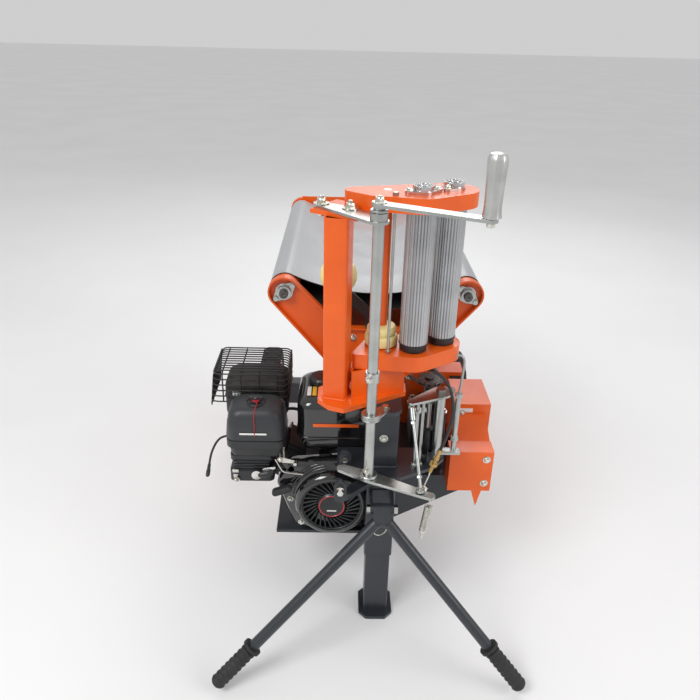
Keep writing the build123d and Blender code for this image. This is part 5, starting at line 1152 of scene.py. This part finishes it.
@dataclass
class Engine:
    """Single-cylinder petrol engine: tank, air cleaner, muffler in its wire guard, and recoil starter."""

    guard_wire: float = 0.0017
    cross_wires: int = 11
    hoops: int = 6
    hoop_step: float = 0.0145
    long_wires: int = 4
    vanes: int = 30
    vane_slant: float = 0.45
    vane_circle: float = 0.0515
    bolt_circle: float = 0.098
    bolt_angles: Triple = (62, 178, 222)
    grip_lean: float = 0.34
    cap_ribs: int = 18
    lead_radius: float = 0.0026
    body: str = "chassis"

    def tank(self) -> None:
        """Fuel tank of two pressed shells with a rolled seam, and its ribbed cap."""
        low, high = node_box("fuel_tank")
        centre = (low + high) / 2
        hx, hy = (high[0] - low[0]) / 2 - 0.003, (high[1] - low[1]) / 2 - 0.003
        seam = high[2] - 0.096
        upper = [(h, x, y, 0.030) for h, x, y, _ in eased(high[2] - seam, hx, hy, 0.03, 0.026, 0.0, 8)]
        lower = [(-0.040, hx - 0.020, hy - 0.018, 0.022), (-0.034, hx - 0.008, hy - 0.008, 0.026),
                 (-0.022, hx - 0.003, hy - 0.003, 0.030), (0, hx - 0.001, hy - 0.001, 0.030)]
        seam_at = (centre[0], centre[1], seam)
        rim = slab((centre[0], centre[1], seam), (hx + 0.003, hy + 0.003, 0.0022), 0.032, 0.0016)
        tank = joined([stacked(seam_at, upper, steps=10), stacked(seam_at, lower, steps=10), rim])
        feet = [slab((centre[0] + x, centre[1] + y, low[2] + 0.020), (0.012, 0.007, 0.0195), 0.002, 0.001)
                for x in (-0.040, 0.040) for y in (-0.050, 0.050)]
        piece("fuel_tank_shells", joined([tank, *feet]), GLOSS_BLACK, self.body, ["fuel_tank"],
              sharp=math.radians(60))
        cap_low, cap_high = node_box("fuel_cap")
        at = (cap_low + cap_high) / 2
        turn = np.arange(144) * TAU / 144
        ring = 1 - 0.05 * np.clip(np.cos(turn * self.cap_ribs) * 2, 0, 1)
        side = [(0.026, 0), (0.030, 0.002), (0.030, 0.012), (0.026, 0.0165), (0.012, 0.017)]
        piece("fuel_cap_ribbed", lathe((at[0], at[1], cap_low[2]), UP, side, 144, ring), SATIN_BLACK,
              "fuel_cap",
              ["fuel_cap"])
        front = low[1] + 0.0008
        strip = slab((centre[0] - 0.012, front + 0.0012, seam + 0.034), (0.052, 0.0042, 0.0006), 0.0006,
                     0.0003, FACING)
        piece("plain_orange_strip", strip, ORANGE, self.body)
        for name, finish, x in (("plain_white_strip", WHITE_LABEL, 0.018),
                                ("plain_yellow_strip", YELLOW_LABEL, 0.030)):
            spot = (low[0] + x + 0.012, low[1] + 0.050, high[2] + 0.0001)
            piece(name, slab(spot, (0.0045, 0.020, 0.0005), 0.001, 0.0003), finish, self.body)

    def air_cleaner(self) -> None:
        """Air cleaner: black body with a stepped seam, dark satin cover, wing nut and a red string."""
        low, _ = node_box("air_cleaner_base")
        cover_low, cover_high = node_box("air_cleaner_cover")
        centre = (cover_low + cover_high) / 2
        hx, hy = (cover_high[0] - cover_low[0]) / 2, (cover_high[1] - cover_low[1]) / 2
        seam, top = cover_low[2], cover_high[2] - 0.016
        at = (centre[0], centre[1], low[2])
        step = seam - low[2]
        base = [(0, hx - 0.012, hy - 0.012, 0.014), (0.004, hx - 0.009, hy - 0.009, 0.016),
                (step - 0.022, hx - 0.006, hy - 0.006, 0.018), (step - 0.019, hx - 0.001, hy - 0.001, 0.020),
                (step - 0.002, hx - 0.001, hy - 0.001, 0.020), (step, hx - 0.004, hy - 0.004, 0.018)]
        piece("air_cleaner_body", stacked(at, base, steps=9), SATIN_BLACK, self.body, ["air_cleaner_base"])
        rise = top - seam
        cover = [(0.0006, hx - 0.002, hy - 0.002, 0.020), (0.003, hx, hy, 0.022),
                 (rise * 0.55, hx - 0.003, hy - 0.003, 0.024),
                 (rise * 0.62, hx - 0.0045, hy - 0.0045, 0.024)]
        arc = np.linspace(0, math.pi / 2, 8)[1:]
        cover += [(rise * 0.62 + rise * 0.36 * math.sin(a), hx - 0.0045 - 0.020 * (1 - math.cos(a)),
                   hy - 0.0045 - 0.020 * (1 - math.cos(a)), 0.026) for a in arc]
        cover.append((rise, hx * 0.4, hy * 0.4, 0.016))
        made = stacked((centre[0], centre[1], seam), cover, steps=10)
        piece("air_cleaner_top", made, COVER_GREY, self.body, ["air_cleaner_cover"], sharp=math.radians(50))
        knob = np.array([centre[0], centre[1] - 0.006, top])
        rim = washer(knob - UP * 0.001, UP, 0.022, 0.0195, 0.003, 48, 0.4)
        boss = lathe(knob, UP, [(0.010, -0.001), (0.010, 0.004), (0.0075, 0.006), (0.0075, 0.012),
                                (0.006, 0.014)], 28)
        wing = slab(knob + UP * 0.0090, (0.0165, 0.0028, 0.0060), 0.0025, 0.002)
        piece("air_cleaner_knob", joined([rim, boss, wing]), SATIN_BLACK, self.body)
        front = cover_low[1]
        rest = [(knob[0] - 0.004, knob[1] + 0.006, knob[2] + 0.010),
                (knob[0] + 0.005, knob[1] - 0.008, knob[2] + 0.008),
                (knob[0] + 0.001, front + 0.018, knob[2] - 0.0005),
                (knob[0] - 0.002, front + 0.003, knob[2] - 0.016),
                (knob[0] + 0.001, front - 0.0008, knob[2] - 0.034),
                (knob[0] - 0.001, front - 0.0005, knob[2] - 0.062)]
        string = spline_cord("red_string", rest, 0.0009, RED_CORD, self.body)
        knot = coil((knob[0], knob[1], knob[2] + 0.004), (knob[0], knob[1], knob[2] + 0.008), 0.0088, 0.0009,
                    3)
        piece("red_string_knot", knot, RED_CORD, self.body)
        strip = slab((centre[0] - 0.004, front - 0.0001, seam + 0.020), (0.030, 0.0022, 0.0005), 0.0005,
                     0.0002, FACING)
        piece("plain_label_strip", strip, WHITE_LABEL, self.body)

    def carburettor(self) -> None:
        """Black carburettor body with a bent intake, choke lever, drain bolt and throttle springs."""
        low, high = node_box("carburettor_housing")
        hx, hy = 0.0505, (high[1] - low[1]) / 2
        cx, cy = low[0] + 0.053, (low[1] + high[1]) / 2
        shell = stacked((cx, cy, low[2]), [(0, hx - 0.006, hy - 0.006, 0.008), (0.004, hx, hy, 0.012),
                                           (0.030, hx, hy, 0.012), (0.034, hx - 0.008, hy - 0.006, 0.012),
                                           (0.054, hx - 0.008, hy - 0.006, 0.012),
                                           (0.058, hx - 0.002, hy - 0.002, 0.014),
                                           (high[2] - low[2], hx - 0.002, hy - 0.002, 0.014)])
        intake = rod([(cx + 0.020, low[1] + 0.006, 0.392), (cx + 0.020, low[1] - 0.006, 0.392),
                      (cx + 0.046, low[1] - 0.006, 0.398), (cx + 0.050, low[1] + 0.020, 0.400)], 0.0085,
                     0.014, 20)
        block = lathe((low[0] + 0.104, -0.532, 0.379), (1, 0, 0),
                      [(0.012, 0), (0.012, high[0] - low[0] - 0.104)], 24)
        ribs = [slab((cx, low[1] + 0.0005, 0.424 - k * 0.0075), (hx - 0.010, 0.0012, 0.002), 0.001, 0.0006,
                     FACING)
                for k in range(3)]
        piece("carburettor_body", joined([shell, intake, block, *ribs]), SATIN_BLACK, self.body,
              ["carburettor_housing"])
        y = low[1] - 0.001
        levers = [
            bolt((low[0] + 0.018, y + 0.001, 0.376), (-0.4, -1, -0.3), M6),
            lathe((cx + 0.012, y - 0.004, 0.392), (0, -1, 0),
                  [(0.011, 0), (0.0118, 0.001), (0.0118, 0.004), (0.006, 0.005)], 28),
            plate(hull_outline([(0, 0, 0.005), (0.022, 0.006, 0.003)], 40), (cx + 0.030, y - 0.002, 0.404),
                  FACING, 0.0016, 0.0004),
            slab((low[0] + 0.016, y + 0.0004, 0.398), (0.007, 0.004, 0.0012), 0.001, 0.0005, FACING),
            slab((low[0] + 0.016, y + 0.0004, 0.386), (0.005, 0.003, 0.0012), 0.001, 0.0005, FACING),
        ]
        piece("choke_parts", joined(levers), BRIGHT_ZINC, self.body)
        x, z = JOINT_AT["throttle_turn"][0], JOINT_AT["throttle_turn"][2]
        springs = [coil((x + k, -0.5875, z + 0.006), (x + k - 0.002, -0.590, z + 0.062), 0.0026, 0.0005, 16)
                   for k in (0.0, 0.009)]
        arm = rod([(x - 0.012, -0.589, z + 0.004), (x + 0.006, -0.589, z - 0.032),
                   (x + 0.052, -0.589, z - 0.038)], 0.0018, 0.008)
        piece("governor_springs", joined([*springs, arm]), BRIGHT_ZINC, self.body)
        edge = lathe((x, -0.5865, z), (0, -1, 0), [(0.0055, 0), (0.0055, 0.002), (0.003, 0.004)], 20)
        piece("throttle_pivot_screw", edge, BRIGHT_ZINC, "throttle_lever")

    def muffler(self) -> None:
        """Muffler box with a perforated strip, and its guard of bent round wires."""
        low, high = node_box("muffler")
        centre, hx, hy = (low + high) / 2, (high[0] - low[0]) / 2, (high[1] - low[1]) / 2
        foot = 0.470
        shell = stacked((centre[0], centre[1], foot), eased(high[2] - foot, hx, hy, 0.024, 0.018, 0.010),
                        steps=9)
        seam = slab((centre[0], centre[1], foot + 0.052), (hx + 0.002, hy + 0.002, 0.0016), 0.026, 0.001)
        pipe = slab((-0.262, -0.430, foot - 0.015), (0.025, 0.020, 0.0165), 0.008, 0.002)
        piece("muffler_shell", joined([shell, seam, pipe]), HEAT_BLACK, self.body, ["muffler"],
              sharp=math.radians(55))
        strip = slab((centre[0], low[1] - 0.0006, high[2] - 0.028), (hx - 0.020, 0.0075, 0.0014), 0.003,
                     0.0006, FACING)
        holes = [lathe((centre[0] + x, low[1] - 0.0018, high[2] - 0.028 + z), (0, -1, 0),
                       [(0.0019, 0), (0.0019, 0.0008)], 10)
                 for x in np.linspace(-hx + 0.026, hx - 0.026, 15) for z in (-0.0035, 0.0035)]
        piece("muffler_strip", strip, ZINC, self.body)
        piece("muffler_holes", joined(holes), HEAT_BLACK, self.body)
        self.guard()

    def guard(self) -> None:
        """Wire basket: cross wires bent down at both ends, hoops round three sides and four long wires."""
        low, high = node_box("muffler_guard")
        w = self.guard_wire
        x0, x1, y0, y1 = low[0] + w, high[0] - w, low[1] + w, high[1] - w
        top, foot = high[2] - w, low[2] + 0.016
        wires = []
        for y in np.linspace(y0 + 0.012, y1, self.cross_wires):
            wires.append(rod([(x0, y, foot - 0.010), (x0 + 0.010, y, top), (x1, y, top),
                              (x1, y, foot + 0.030)], w, 0.016, 8))
        for k in range(self.hoops):
            z = top - 0.004 - k * self.hoop_step
            lean = 0.010 * (1 - (top - z) / (top - foot))
            wires.append(rod([(x0 + lean, y1, z), (x0 + lean, y0, z), (x1, y0, z), (x1, y1, z)], w, 0.018, 8))
        for x in np.linspace(x0 + 0.030, x1 - 0.024, self.long_wires):
            wires.append(rod([(x, y1, top - 2 * w), (x, y0 + 2 * w, top - 2 * w),
                              (x, y0 + 2 * w, foot + 0.004)], w, 0.014, 8))
        for x in (x0 + 0.030, x1 - 0.030):
            wires.append(rod([(x, y0 + 2 * w, foot + 0.030), (x, y0 + 0.018, foot + 0.026)], w, 0.004, 8))
        piece("muffler_guard_wires", joined(wires), BLACK_PAINT, self.body, ["muffler_guard"],
              sharp=math.radians(60))

    def starter(self) -> None:
        """Recoil starter: shroud, fan cover with slanted vanes, badge ring, arched ribs and T-handle."""
        at = JOINT_AT["crankshaft_turn"]
        low, high = node_box("recoil_cover")
        x, z, face = at[0], at[2], low[1] + 0.024
        back = high[1]
        corners = [(x - 0.076, low[2] + 0.036, 0.016), (x - 0.112, z + 0.048, 0.016),
                   (x - 0.092, z + 0.088, 0.014),
                   (x + 0.030, z + 0.098, 0.016), (x + 0.058, z + 0.058, 0.016),
                   (x + 0.058, low[2] + 0.060, 0.016),
                   (x + 0.030, low[2] + 0.020, 0.018), (x - 0.030, low[2] + 0.018, 0.018)]
        outline = hull_outline(corners, 180)
        shroud = plate(outline, (0, back, 0), FACING, back - face, 0.005)
        hood = [(0.086, 0.0), (0.088, 0.006), (0.086, 0.014), (0.080, 0.021), (0.074, 0.0235),
                (0.0705, 0.023),
                (0.069, 0.019), (0.069, 0.008), (0.020, 0.0075)]
        fan = lathe((x, face + 0.0005, z), (0, -1, 0), hood, 96)
        tab = plate(hull_outline([(-0.214, 0.424, 0.008), (-0.190, 0.396, 0.008)], 60), (0, face + 0.006, 0),
                    FACING, 0.006)
        piece("recoil_shroud", joined([shroud, fan, tab]), GLOSS_BLACK, self.body, ["recoil_cover"],
              sharp=math.radians(50))
        blades = []
        for turn in np.arange(self.vanes) * TAU / self.vanes:
            spoke = np.array([math.cos(turn), 0, math.sin(turn)])
            slant = np.array([math.cos(turn + self.vane_slant), 0, math.sin(turn + self.vane_slant)])
            side = np.cross(slant, (0, -1, 0))
            middle = np.array([x, face - 0.0145, z]) + spoke * self.vane_circle
            blades.append(slab(middle, (0.019, 0.0016, 0.006), 0.0015, 0.001, (slant, side, (0, -1, 0))))
        blades.append(washer((x, face - 0.009, z), (0, -1, 0), 0.0705, 0.0665, 0.012, 64, 0.3))
        piece("fan_vanes", joined(blades), SATIN_BLACK, self.body)
        centre = lathe((x, face - 0.008, z), (0, -1, 0),
                       [(0.034, 0), (0.034, 0.011), (0.031, 0.0145), (0.010, 0.0150)], 64)
        piece("starter_centre", centre, SATIN_BLACK, self.body)
        ring = washer((x, face - 0.0205, z), (0, -1, 0), 0.0305, 0.0272, 0.0026, 72, 0.3)
        piece("starter_badge_ring", ring, RED_BADGE, self.body)
        strip = slab((x, face - 0.0234, z - 0.012), (0.011, 0.0016, 0.0006), 0.0006, 0.0002, FACING)
        piece("badge_plain_strip", strip, WHITE_LABEL, self.body)
        ribs = []
        for radius, start, end in ((0.0945, 95, 168), (0.1015, 100, 160), (0.1085, 108, 150)):
            arc = np.radians(np.linspace(start, end, 32))
            path = np.stack([x + radius * np.cos(arc), np.full(32, face - 0.0005), z + radius * np.sin(arc)],
                            1)
            ribs.append(sweep(path, disc(0.0026, 12), up=(0, -1, 0)))
        piece("shroud_ribs", joined(ribs), GLOSS_BLACK, self.body)
        circle = self.bolt_circle
        screws = [bolt((x + circle * math.cos(a), face + 0.0005, z + circle * math.sin(a)), (0, -1, 0), SMALL_HEAD)
                  for a in np.radians(self.bolt_angles)]
        piece("shroud_bolts", joined(screws), BRIGHT_ZINC, self.body)
        grip_low, grip_high = node_box("recoil_grip")
        middle = (grip_low + grip_high) / 2
        lean = np.array([math.cos(self.grip_lean), 0, math.sin(self.grip_lean)])
        axes = (lean, np.cross((0, -1, 0), lean), (0, -1, 0))
        handle = slab((middle[0], grip_low[1] + 0.009, middle[2]), (0.024, 0.0078, 0.0088), 0.0075, 0.004,
                      axes)
        neck = lathe((middle[0], grip_high[1], middle[2]), (0, -1, 0),
                     [(0.006, 0), (0.0066, 0.006), (0.005, 0.012)], 24)
        piece("starter_grip", joined([handle, neck]), RUBBER, "recoil_grip", ["recoil_grip"])

    def block(self) -> None:
        """Rocker cover with its bolts, the engine's mounting bolts and the plug lead."""
        low, _ = node_box("engine_block")
        axis = np.array([-0.906, 0.0, 0.423])
        head = np.array([-0.155, -0.452, 0.334]) + axis * 0.150
        cover = slab(head + axis * 0.006, (0.041, 0.040, 0.010), 0.012, 0.005,
                     ((0, 1, 0), np.cross(axis, (0, 1, 0)), axis))
        bolts = [bolt(head + axis * 0.016 + np.array([0, y, 0]), axis, M6) for y in (-0.030, 0.030)]
        piece("rocker_cover", cover, BLACK_CAST, self.body)
        piece("rocker_bolts", joined(bolts), BRIGHT_ZINC, self.body)
        deck = low[2] + 0.012
        feet = [bolt((x, y, deck), UP, M8) for x in (-0.164, -0.026) for y in (-0.533, -0.352)]
        piece("engine_bolts", joined(feet), BRIGHT_ZINC, self.body)
        plug = rod([(-0.270, -0.392, 0.402), (-0.262, -0.372, 0.412), (-0.200, -0.362, 0.430),
                    (-0.160, -0.380, 0.420)], 0.004, 0.02)
        piece("plug_lead", plug, RUBBER, self.body)

    def lead(self) -> None:
        """Free ignition-kill lead as one spline with its moulded bullet connector."""
        points = [(-0.3326, -0.556, 0.468), (-0.349, -0.557, 0.466), (-0.362, -0.558, 0.452),
                  (-0.371, -0.560, 0.434),
                  (-0.378, -0.561, 0.414), (-0.382, -0.562, 0.392)]
        cord = spline_cord("ignition_lead", points, self.lead_radius, RUBBER, self.body, ["kill_lead"])
        end, before = np.array(points[-1]), np.array(points[-2])
        way = (end - before) / np.linalg.norm(end - before)
        profile = [(0.0026, -0.002), (0.0038, 0.001), (0.0040, 0.014), (0.0050, 0.017), (0.0050, 0.031),
                   (0.0036, 0.034)]
        plug = piece("lead_bullet_connector", lathe(end, way, profile, 24), SATIN_BLACK, self.body,
                     ["lead_connector"])

    def build(self) -> None:
        """Builds every piece of the engine."""
        self.tank()
        self.air_cleaner()
        self.carburettor()
        self.muffler()
        self.starter()
        self.block()
        self.lead()


# ---------------------------------------------------------------- chassis, handles and wheels


@dataclass
class Chassis:
    """Weld beads, bolts and the lock pin's ring on the frame."""

    body: str = "chassis"

    def welds(self) -> None:
        """Weld beads round the column, on the gusset plate and where the axle beam meets the main beam."""
        leg_low, leg_high = node_box("support_leg")
        x, y = (leg_low[0] + leg_high[0]) / 2, (leg_low[1] + leg_high[1]) / 2
        outline = rounded_outline(np.array([0.0327]), np.array([0.0327]), np.array([0.005]))[0]
        beads = []
        for z in (0.4455, 0.4368, 0.5995):
            ring = np.column_stack([x + outline[:, 0], y + outline[:, 1], np.full(len(outline), z)])
            beads.append(weld_bead(np.concatenate([ring, ring[:1]]), 0.0024))
        piece("column_welds", joined(beads), CHASSIS, self.body)
        seam = np.array([[x - 0.030, 0.195, 0.1905], [x - 0.030, 0.246, 0.1905]])
        others = [weld_bead(seam + (k, 0, 0), 0.0026) for k in (0, 0.060)]
        piece("beam_welds", joined(others), CHASSIS, self.body)

    def fasteners(self) -> None:
        """Column bolts, gearbox bolts, axle nuts and the split ring of the leg's lock pin."""
        low, _ = node_box("gearbox")
        spots = [(x, y, low[2] + 0.096) for x in (0.114, 0.186) for y in (-0.366, -0.294)]
        piece("gearbox_bolts", joined([bolt(spot, UP, M8) for spot in spots]), BRIGHT_ZINC, self.body)
        cover = lathe((0.150, -0.440, 0.380), (0, -1, 0),
                      [(0.030, 0), (0.032, 0.002), (0.032, 0.007), (0.027, 0.009)], 48)
        piece("gearbox_input_cover", cover, BLACK_PAINT, self.body)
        face = -0.6365
        plugs = [bolt((0.016 + x, face, z), (0, -1, 0), MIDDLE_HEAD) for x,
                 z in ((0.0, 0.520), (-0.018, 0.404), (0.018, 0.404))]
        piece("column_bolts", joined(plugs), BRIGHT_ZINC, self.body)
        pin_low, pin_high = node_box("leg_lock_pin")
        middle = (pin_low + pin_high) / 2
        turn = np.arange(40) * TAU / 40
        at = np.array([middle[0], pin_low[1] + 0.004, middle[2] - 0.015])
        ring = at + 0.016 * (np.outer(np.cos(turn), (0.94, 0.34, 0)) + np.outer(np.sin(turn), (0, 0, 1)))
        piece("lock_pin_ring", sweep(ring, disc(0.0014, 10), closed=True), BRIGHT_ZINC, "leg_lock_pin")
        axle_low, axle_high = node_box("axle")
        y, z = JOINT_AT["wheel_left_turn"][1:]
        nuts = [hexagon((x, y, z), (side, 0, 0), 0.026, 0.007) for side,
                x in ((-1, axle_low[0] + 0.007), (1, axle_high[0] - 0.007))]
        piece("axle_end_nuts", joined(nuts), BRIGHT_ZINC, self.body)

    def build(self) -> None:
        """Builds the frame's small pieces."""
        self.welds()
        self.fasteners()


@dataclass
class PullHandles:
    """Ribbed rubber grips on the two pull tubes."""

    ribs: int = 9
    length: float = 0.118
    grip_radius: float = 0.0165
    tube_radius: float = 0.0125
    root: Triple = (0.016, -0.714, 0.354)
    end: Triple = (0.335, -0.856, 0.020)
    middle: float = -0.006
    flange: float = 0.0048

    def build(self) -> None:
        """Each grip: a flange at the top, a groove behind it, ribs along it and a rounded end."""
        root = np.array(self.root)
        for side, name in ((-1, "left"), (1, "right")):
            tip = np.array([self.middle + side * self.end[0], *self.end[1:]])
            start = root + np.array([side * (self.tube_radius + 0.0005), 0, 0])
            way = (tip - start) / np.linalg.norm(tip - start)
            t = np.linspace(0, 1, 120)
            radius = self.grip_radius + 0.0009 * np.sin(TAU * self.ribs * t)
            radius = np.where((t < 0.06), self.grip_radius + self.flange, radius)
            radius = np.where((t > 0.07) & (t < 0.10), self.grip_radius - 0.0022, radius)
            radius = np.where(t > 0.93, self.grip_radius * (1 - ((t - 0.93) / 0.07) ** 2 * 0.35), radius)
            ribbed = list(zip(radius, t * self.length))
            profile = [(self.tube_radius + 0.0002, 0.0), *ribbed, (0.002, self.length)]
            at = tip - way * self.length
            grip = lathe(at, way, profile, 48)
            piece(f"grip_{name}", grip, RUBBER, "tow_handle", ["handle_grips"] if side < 0 else [])


@dataclass
class Wheel:
    """Treaded tyre on a pressed steel rim."""

    side: int
    lugs: int = 26
    tread: float = 0.0055
    holes: int = 5
    nut_circle: float = 0.055

    def build(self) -> None:
        """Tyre: r(u, v) = section(v) + tread·lug(u, v); rim: a turned dish with a hub."""
        name = "left" if self.side < 0 else "right"
        low, high = node_box(f"wheel_{name}")
        axle = JOINT_AT[f"wheel_{name}_turn"]
        outer, half = (high[1] - low[1]) / 2, (high[0] - low[0]) / 2
        bead = outer * 0.655
        v = np.linspace(0, TAU, 72, endpoint=False)
        power = 0.42
        across = half * 0.97 * np.sign(np.cos(v)) * np.abs(np.cos(v)) ** power
        middle, depth = (outer + bead) / 2, (outer - bead) / 2
        radius = middle + depth * np.sign(np.sin(v)) * np.abs(np.sin(v)) ** power
        u = np.linspace(0, TAU, 520, endpoint=False)[:, None]
        on_tread = np.clip((radius - (outer - 0.022)) / 0.014, 0, 1)
        wave = np.sin(u * self.lugs + self.side * np.abs(across) / half * 2.6)
        lug = np.clip(wave * 5, -1, 1) * 0.5 - 0.5
        centre_groove = -np.clip(1 - np.abs(np.abs(across) - half * 0.18) / 0.003, 0, 1)
        r = radius[None] + self.tread * on_tread * np.minimum(lug, centre_groove[None])
        grid = np.stack([np.broadcast_to(axle[0] + across, r.shape), axle[1] + r * np.cos(u),
                         axle[2] + r * np.sin(u)], -1)
        piece(f"tyre_{name}", surface(grid, wrap_rows=True), TYRE, f"wheel_{name}", [f"wheel_{name}"],
              sharp=math.radians(40))
        rim = [(bead - 0.004, -half * 0.86), (bead + 0.006, -half * 0.90), (bead + 0.008, -half * 0.84),
               (bead - 0.002, -half * 0.6),
               (bead - 0.012, -half * 0.2), (bead - 0.012, half * 0.2), (bead - 0.002, half * 0.6),
               (bead + 0.008, half * 0.84),
               (bead + 0.006, half * 0.90), (bead - 0.004, half * 0.86), (bead - 0.008, half * 0.6),
               (bead - 0.018, half * 0.22),
               (bead - 0.030, half * 0.10), (0.040, half * 0.16), (0.024, half * 0.40), (0.024, half * 0.98),
               (0.0102, half * 0.98), (0.0102, -half * 0.98), (0.024, -half * 0.98), (0.024, half * 0.28),
               (0.040, half * 0.06),
               (bead - 0.030, 0.0), (bead - 0.018, half * 0.10), (bead - 0.010, -half * 0.5)]
        across_axis = (self.side, 0, 0)
        spokes = basis(across_axis)
        turn = np.arange(96) * TAU / 96
        ways = np.outer(np.cos(turn), spokes[0]) + np.outer(np.sin(turn), spokes[1])
        rr, hh = np.array(rim).T
        grid = rr[:, None, None] * ways[None] + hh[:, None, None] * spokes[2] + axle
        piece(f"rim_{name}", surface(grid, wrap_rows=True), RED_RIM, f"wheel_{name}")
        spots = np.arange(self.holes) * TAU / self.holes
        seats = [axle + self.nut_circle * (math.cos(a) * spokes[0] + math.sin(a) * spokes[1])
                 + spokes[2] * half * 0.13 for a in spots]
        nuts = [hexagon(seat, across_axis, M8, 0.007) for seat in seats]
        piece(f"rim_nuts_{name}", joined(nuts), BRIGHT_ZINC, f"wheel_{name}")


@dataclass
class Guards:
    """Bolts, plain label and black window of the orange drive guards."""

    body: str = "chassis"

    def build(self) -> None:
        """Adds the bolts, the black window and the plain label."""
        low, high = node_box("guard_front")
        face = low[1]
        heads = [bolt((high[0] - 0.016, face, z), (0, -1, 0), MIDDLE_HEAD) for z in (0.345, 0.412)]
        heads += [bolt((0.222, -0.430, z), (0, -1, 0), MIDDLE_HEAD) for z in (0.385, 0.462)]
        heads += [bolt((x, -0.268, 0.474), (0, -1, 0), MIDDLE_HEAD) for x in (0.104, 0.188)]
        piece("guard_bolts", joined(heads), BRIGHT_ZINC, self.body)
        window = slab((0.228, -0.2690, 0.466), (0.0155, 0.0135, 0.0014), 0.002, 0.0008, FACING)
        piece("guard_window", window, RUBBER, self.body)
        label = slab((0.228, -0.4306, 0.470), (0.020, 0.0055, 0.0005), 0.001, 0.0002, FACING)
        piece("guard_plain_label", label, WHITE_LABEL, self.body)


# ---------------------------------------------------------------- carried-over parts

CARRIED: dict[str, Finish] = {
    "end_plates": ORANGE, "table_frame": ORANGE, "table_bearings": ZINC, "table_roller_left": ORANGE,
    "table_roller_right": ORANGE, "turntable_hub": STEEL, "end_stop_arm": BLACK_PAINT, "main_frame": CHASSIS,
    "front_column": CHASSIS, "deck_plates": CHASSIS, "support_leg": CHASSIS, "leg_lock_pin": ZINC,
    "handle_tube_left": CHASSIS, "handle_tube_right": CHASSIS, "axle": STEEL, "film_post": ORANGE,
    "lower_arm": ORANGE, "upper_arm": ORANGE, "film_bearings": CHROME, "spindle_rod": ZINC,
    "shaft_brackets": ZINC, "small_bolts": BRIGHT_ZINC, "control_shaft": ZINC, "indicator_lever": ZINC,
    "pivot_post": ZINC, "engine_block": BLACK_CAST, "crankshaft_pulley": STEEL, "throttle_lever": BRIGHT_ZINC,
    "gearbox": BLACK_CAST, "gearbox_sprocket": STEEL, "driven_pulley": STEEL, "rear_guards": ORANGE,
    "guard_front": ORANGE,
}


def dress_carried() -> None:
    """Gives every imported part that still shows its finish."""
    for node, finish in CARRIED.items():
        mesh = frame["nodes"][node].data
        mesh.materials.clear()
        mesh.materials.append(finish.material())


# ---------------------------------------------------------------- studio


@dataclass
class Studio:
    """Pale floor, soft lights and the camera."""

    eye: Triple = (-0.081, -1.87, 1.337)
    pitch: float = math.radians(26.15)
    roll: float = math.radians(1.4)
    yaw: float = math.radians(0.9)
    sensor: float = 36.0
    lens: float = 680 / 700 * 36
    sky: float = 0.62
    reach: float = 30.0
    lamps: tuple = (
        ("key", (-1.8, -2.4, 3.0), (0, -0.2, 0.5), 1.4, 62),
        ("fill", (2.6, -1.8, 2.0), (0, -0.2, 0.6), 1.6, 26),
        ("back", (0.4, 2.6, 2.8), (0, 0, 0.6), 1.4, 34),
    )

    def camera(self) -> None:
        """Camera turned by pitch, then roll, then the machine's own yaw."""
        forward = np.array([0, math.cos(self.pitch), -math.sin(self.pitch)])
        right = np.array([1.0, 0, 0])
        up = np.cross(right, forward)
        across = math.cos(self.roll) * right + math.sin(self.roll) * up
        over = -math.sin(self.roll) * right + math.cos(self.roll) * up
        cos, sin = math.cos(self.yaw), math.sin(self.yaw)
        spin = np.array([[cos, -sin, 0], [sin, cos, 0], [0, 0, 1]])
        columns = np.array([across, over, -forward]) @ spin
        data = bpy.data.cameras.new("camera")
        data.lens = self.lens
        data.sensor_width = self.sensor
        data.clip_start = 0.05
        camera = bpy.data.objects.new("camera", data)
        bpy.context.scene.collection.objects.link(camera)
        turn = Matrix(columns.T.tolist()).to_4x4()
        turn.translation = Vector(self.eye)
        camera.matrix_world = turn
        bpy.context.scene.camera = camera

    def light(self, name: str, place: Triple, aim: Triple, size: float, power: float) -> None:
        """One square area light aimed at a point."""
        data = bpy.data.lights.new(name, "AREA")
        data.size = size
        data.energy = power
        lamp = bpy.data.objects.new(name, data)
        bpy.context.scene.collection.objects.link(lamp)
        lamp.location = place
        lamp.rotation_euler = (Vector(aim) - Vector(place)).to_track_quat("-Z", "Y").to_euler()

    def build(self) -> None:
        """Builds floor, sky, lights and camera."""
        mesh = bpy.data.meshes.new("floor")
        reach = self.reach
        mesh.from_pydata([(-reach, -reach, 0), (reach, -reach, 0), (reach, reach, 0), (-reach, reach, 0)],
                         [], [(0, 1, 2, 3)])
        floor = bpy.data.objects.new("floor", mesh)
        bpy.context.scene.collection.objects.link(floor)
        mesh.materials.append(FLOOR.material())
        world = bpy.data.worlds.new("studio_sky")
        world.use_nodes = True
        sky = world.node_tree.nodes["Background"]
        sky.inputs["Color"].default_value = (1.0, 1.0, 1.0, 1.0)
        sky.inputs["Strength"].default_value = self.sky
        bpy.context.scene.world = world
        for lamp in self.lamps:
            self.light(*lamp)
        bpy.context.scene.view_settings.view_transform = "Standard"
        self.camera()


def main() -> None:
    """Builds the machine's visual pieces in order."""
    logging.basicConfig(level=logging.INFO, format="%(message)s")
    dress_carried()
    for part in (RollerTable(), TableDrive(), FilmUnit(), ControlLinkage(), Engine(), Chassis(),
                 PullHandles(),
                 Wheel(-1), Wheel(1), Guards(), Studio()):
        part.build()
        LOG.info("built %s", type(part).__name__)
    bpy.context.view_layer.update()


if __name__ == "__main__":
    main()
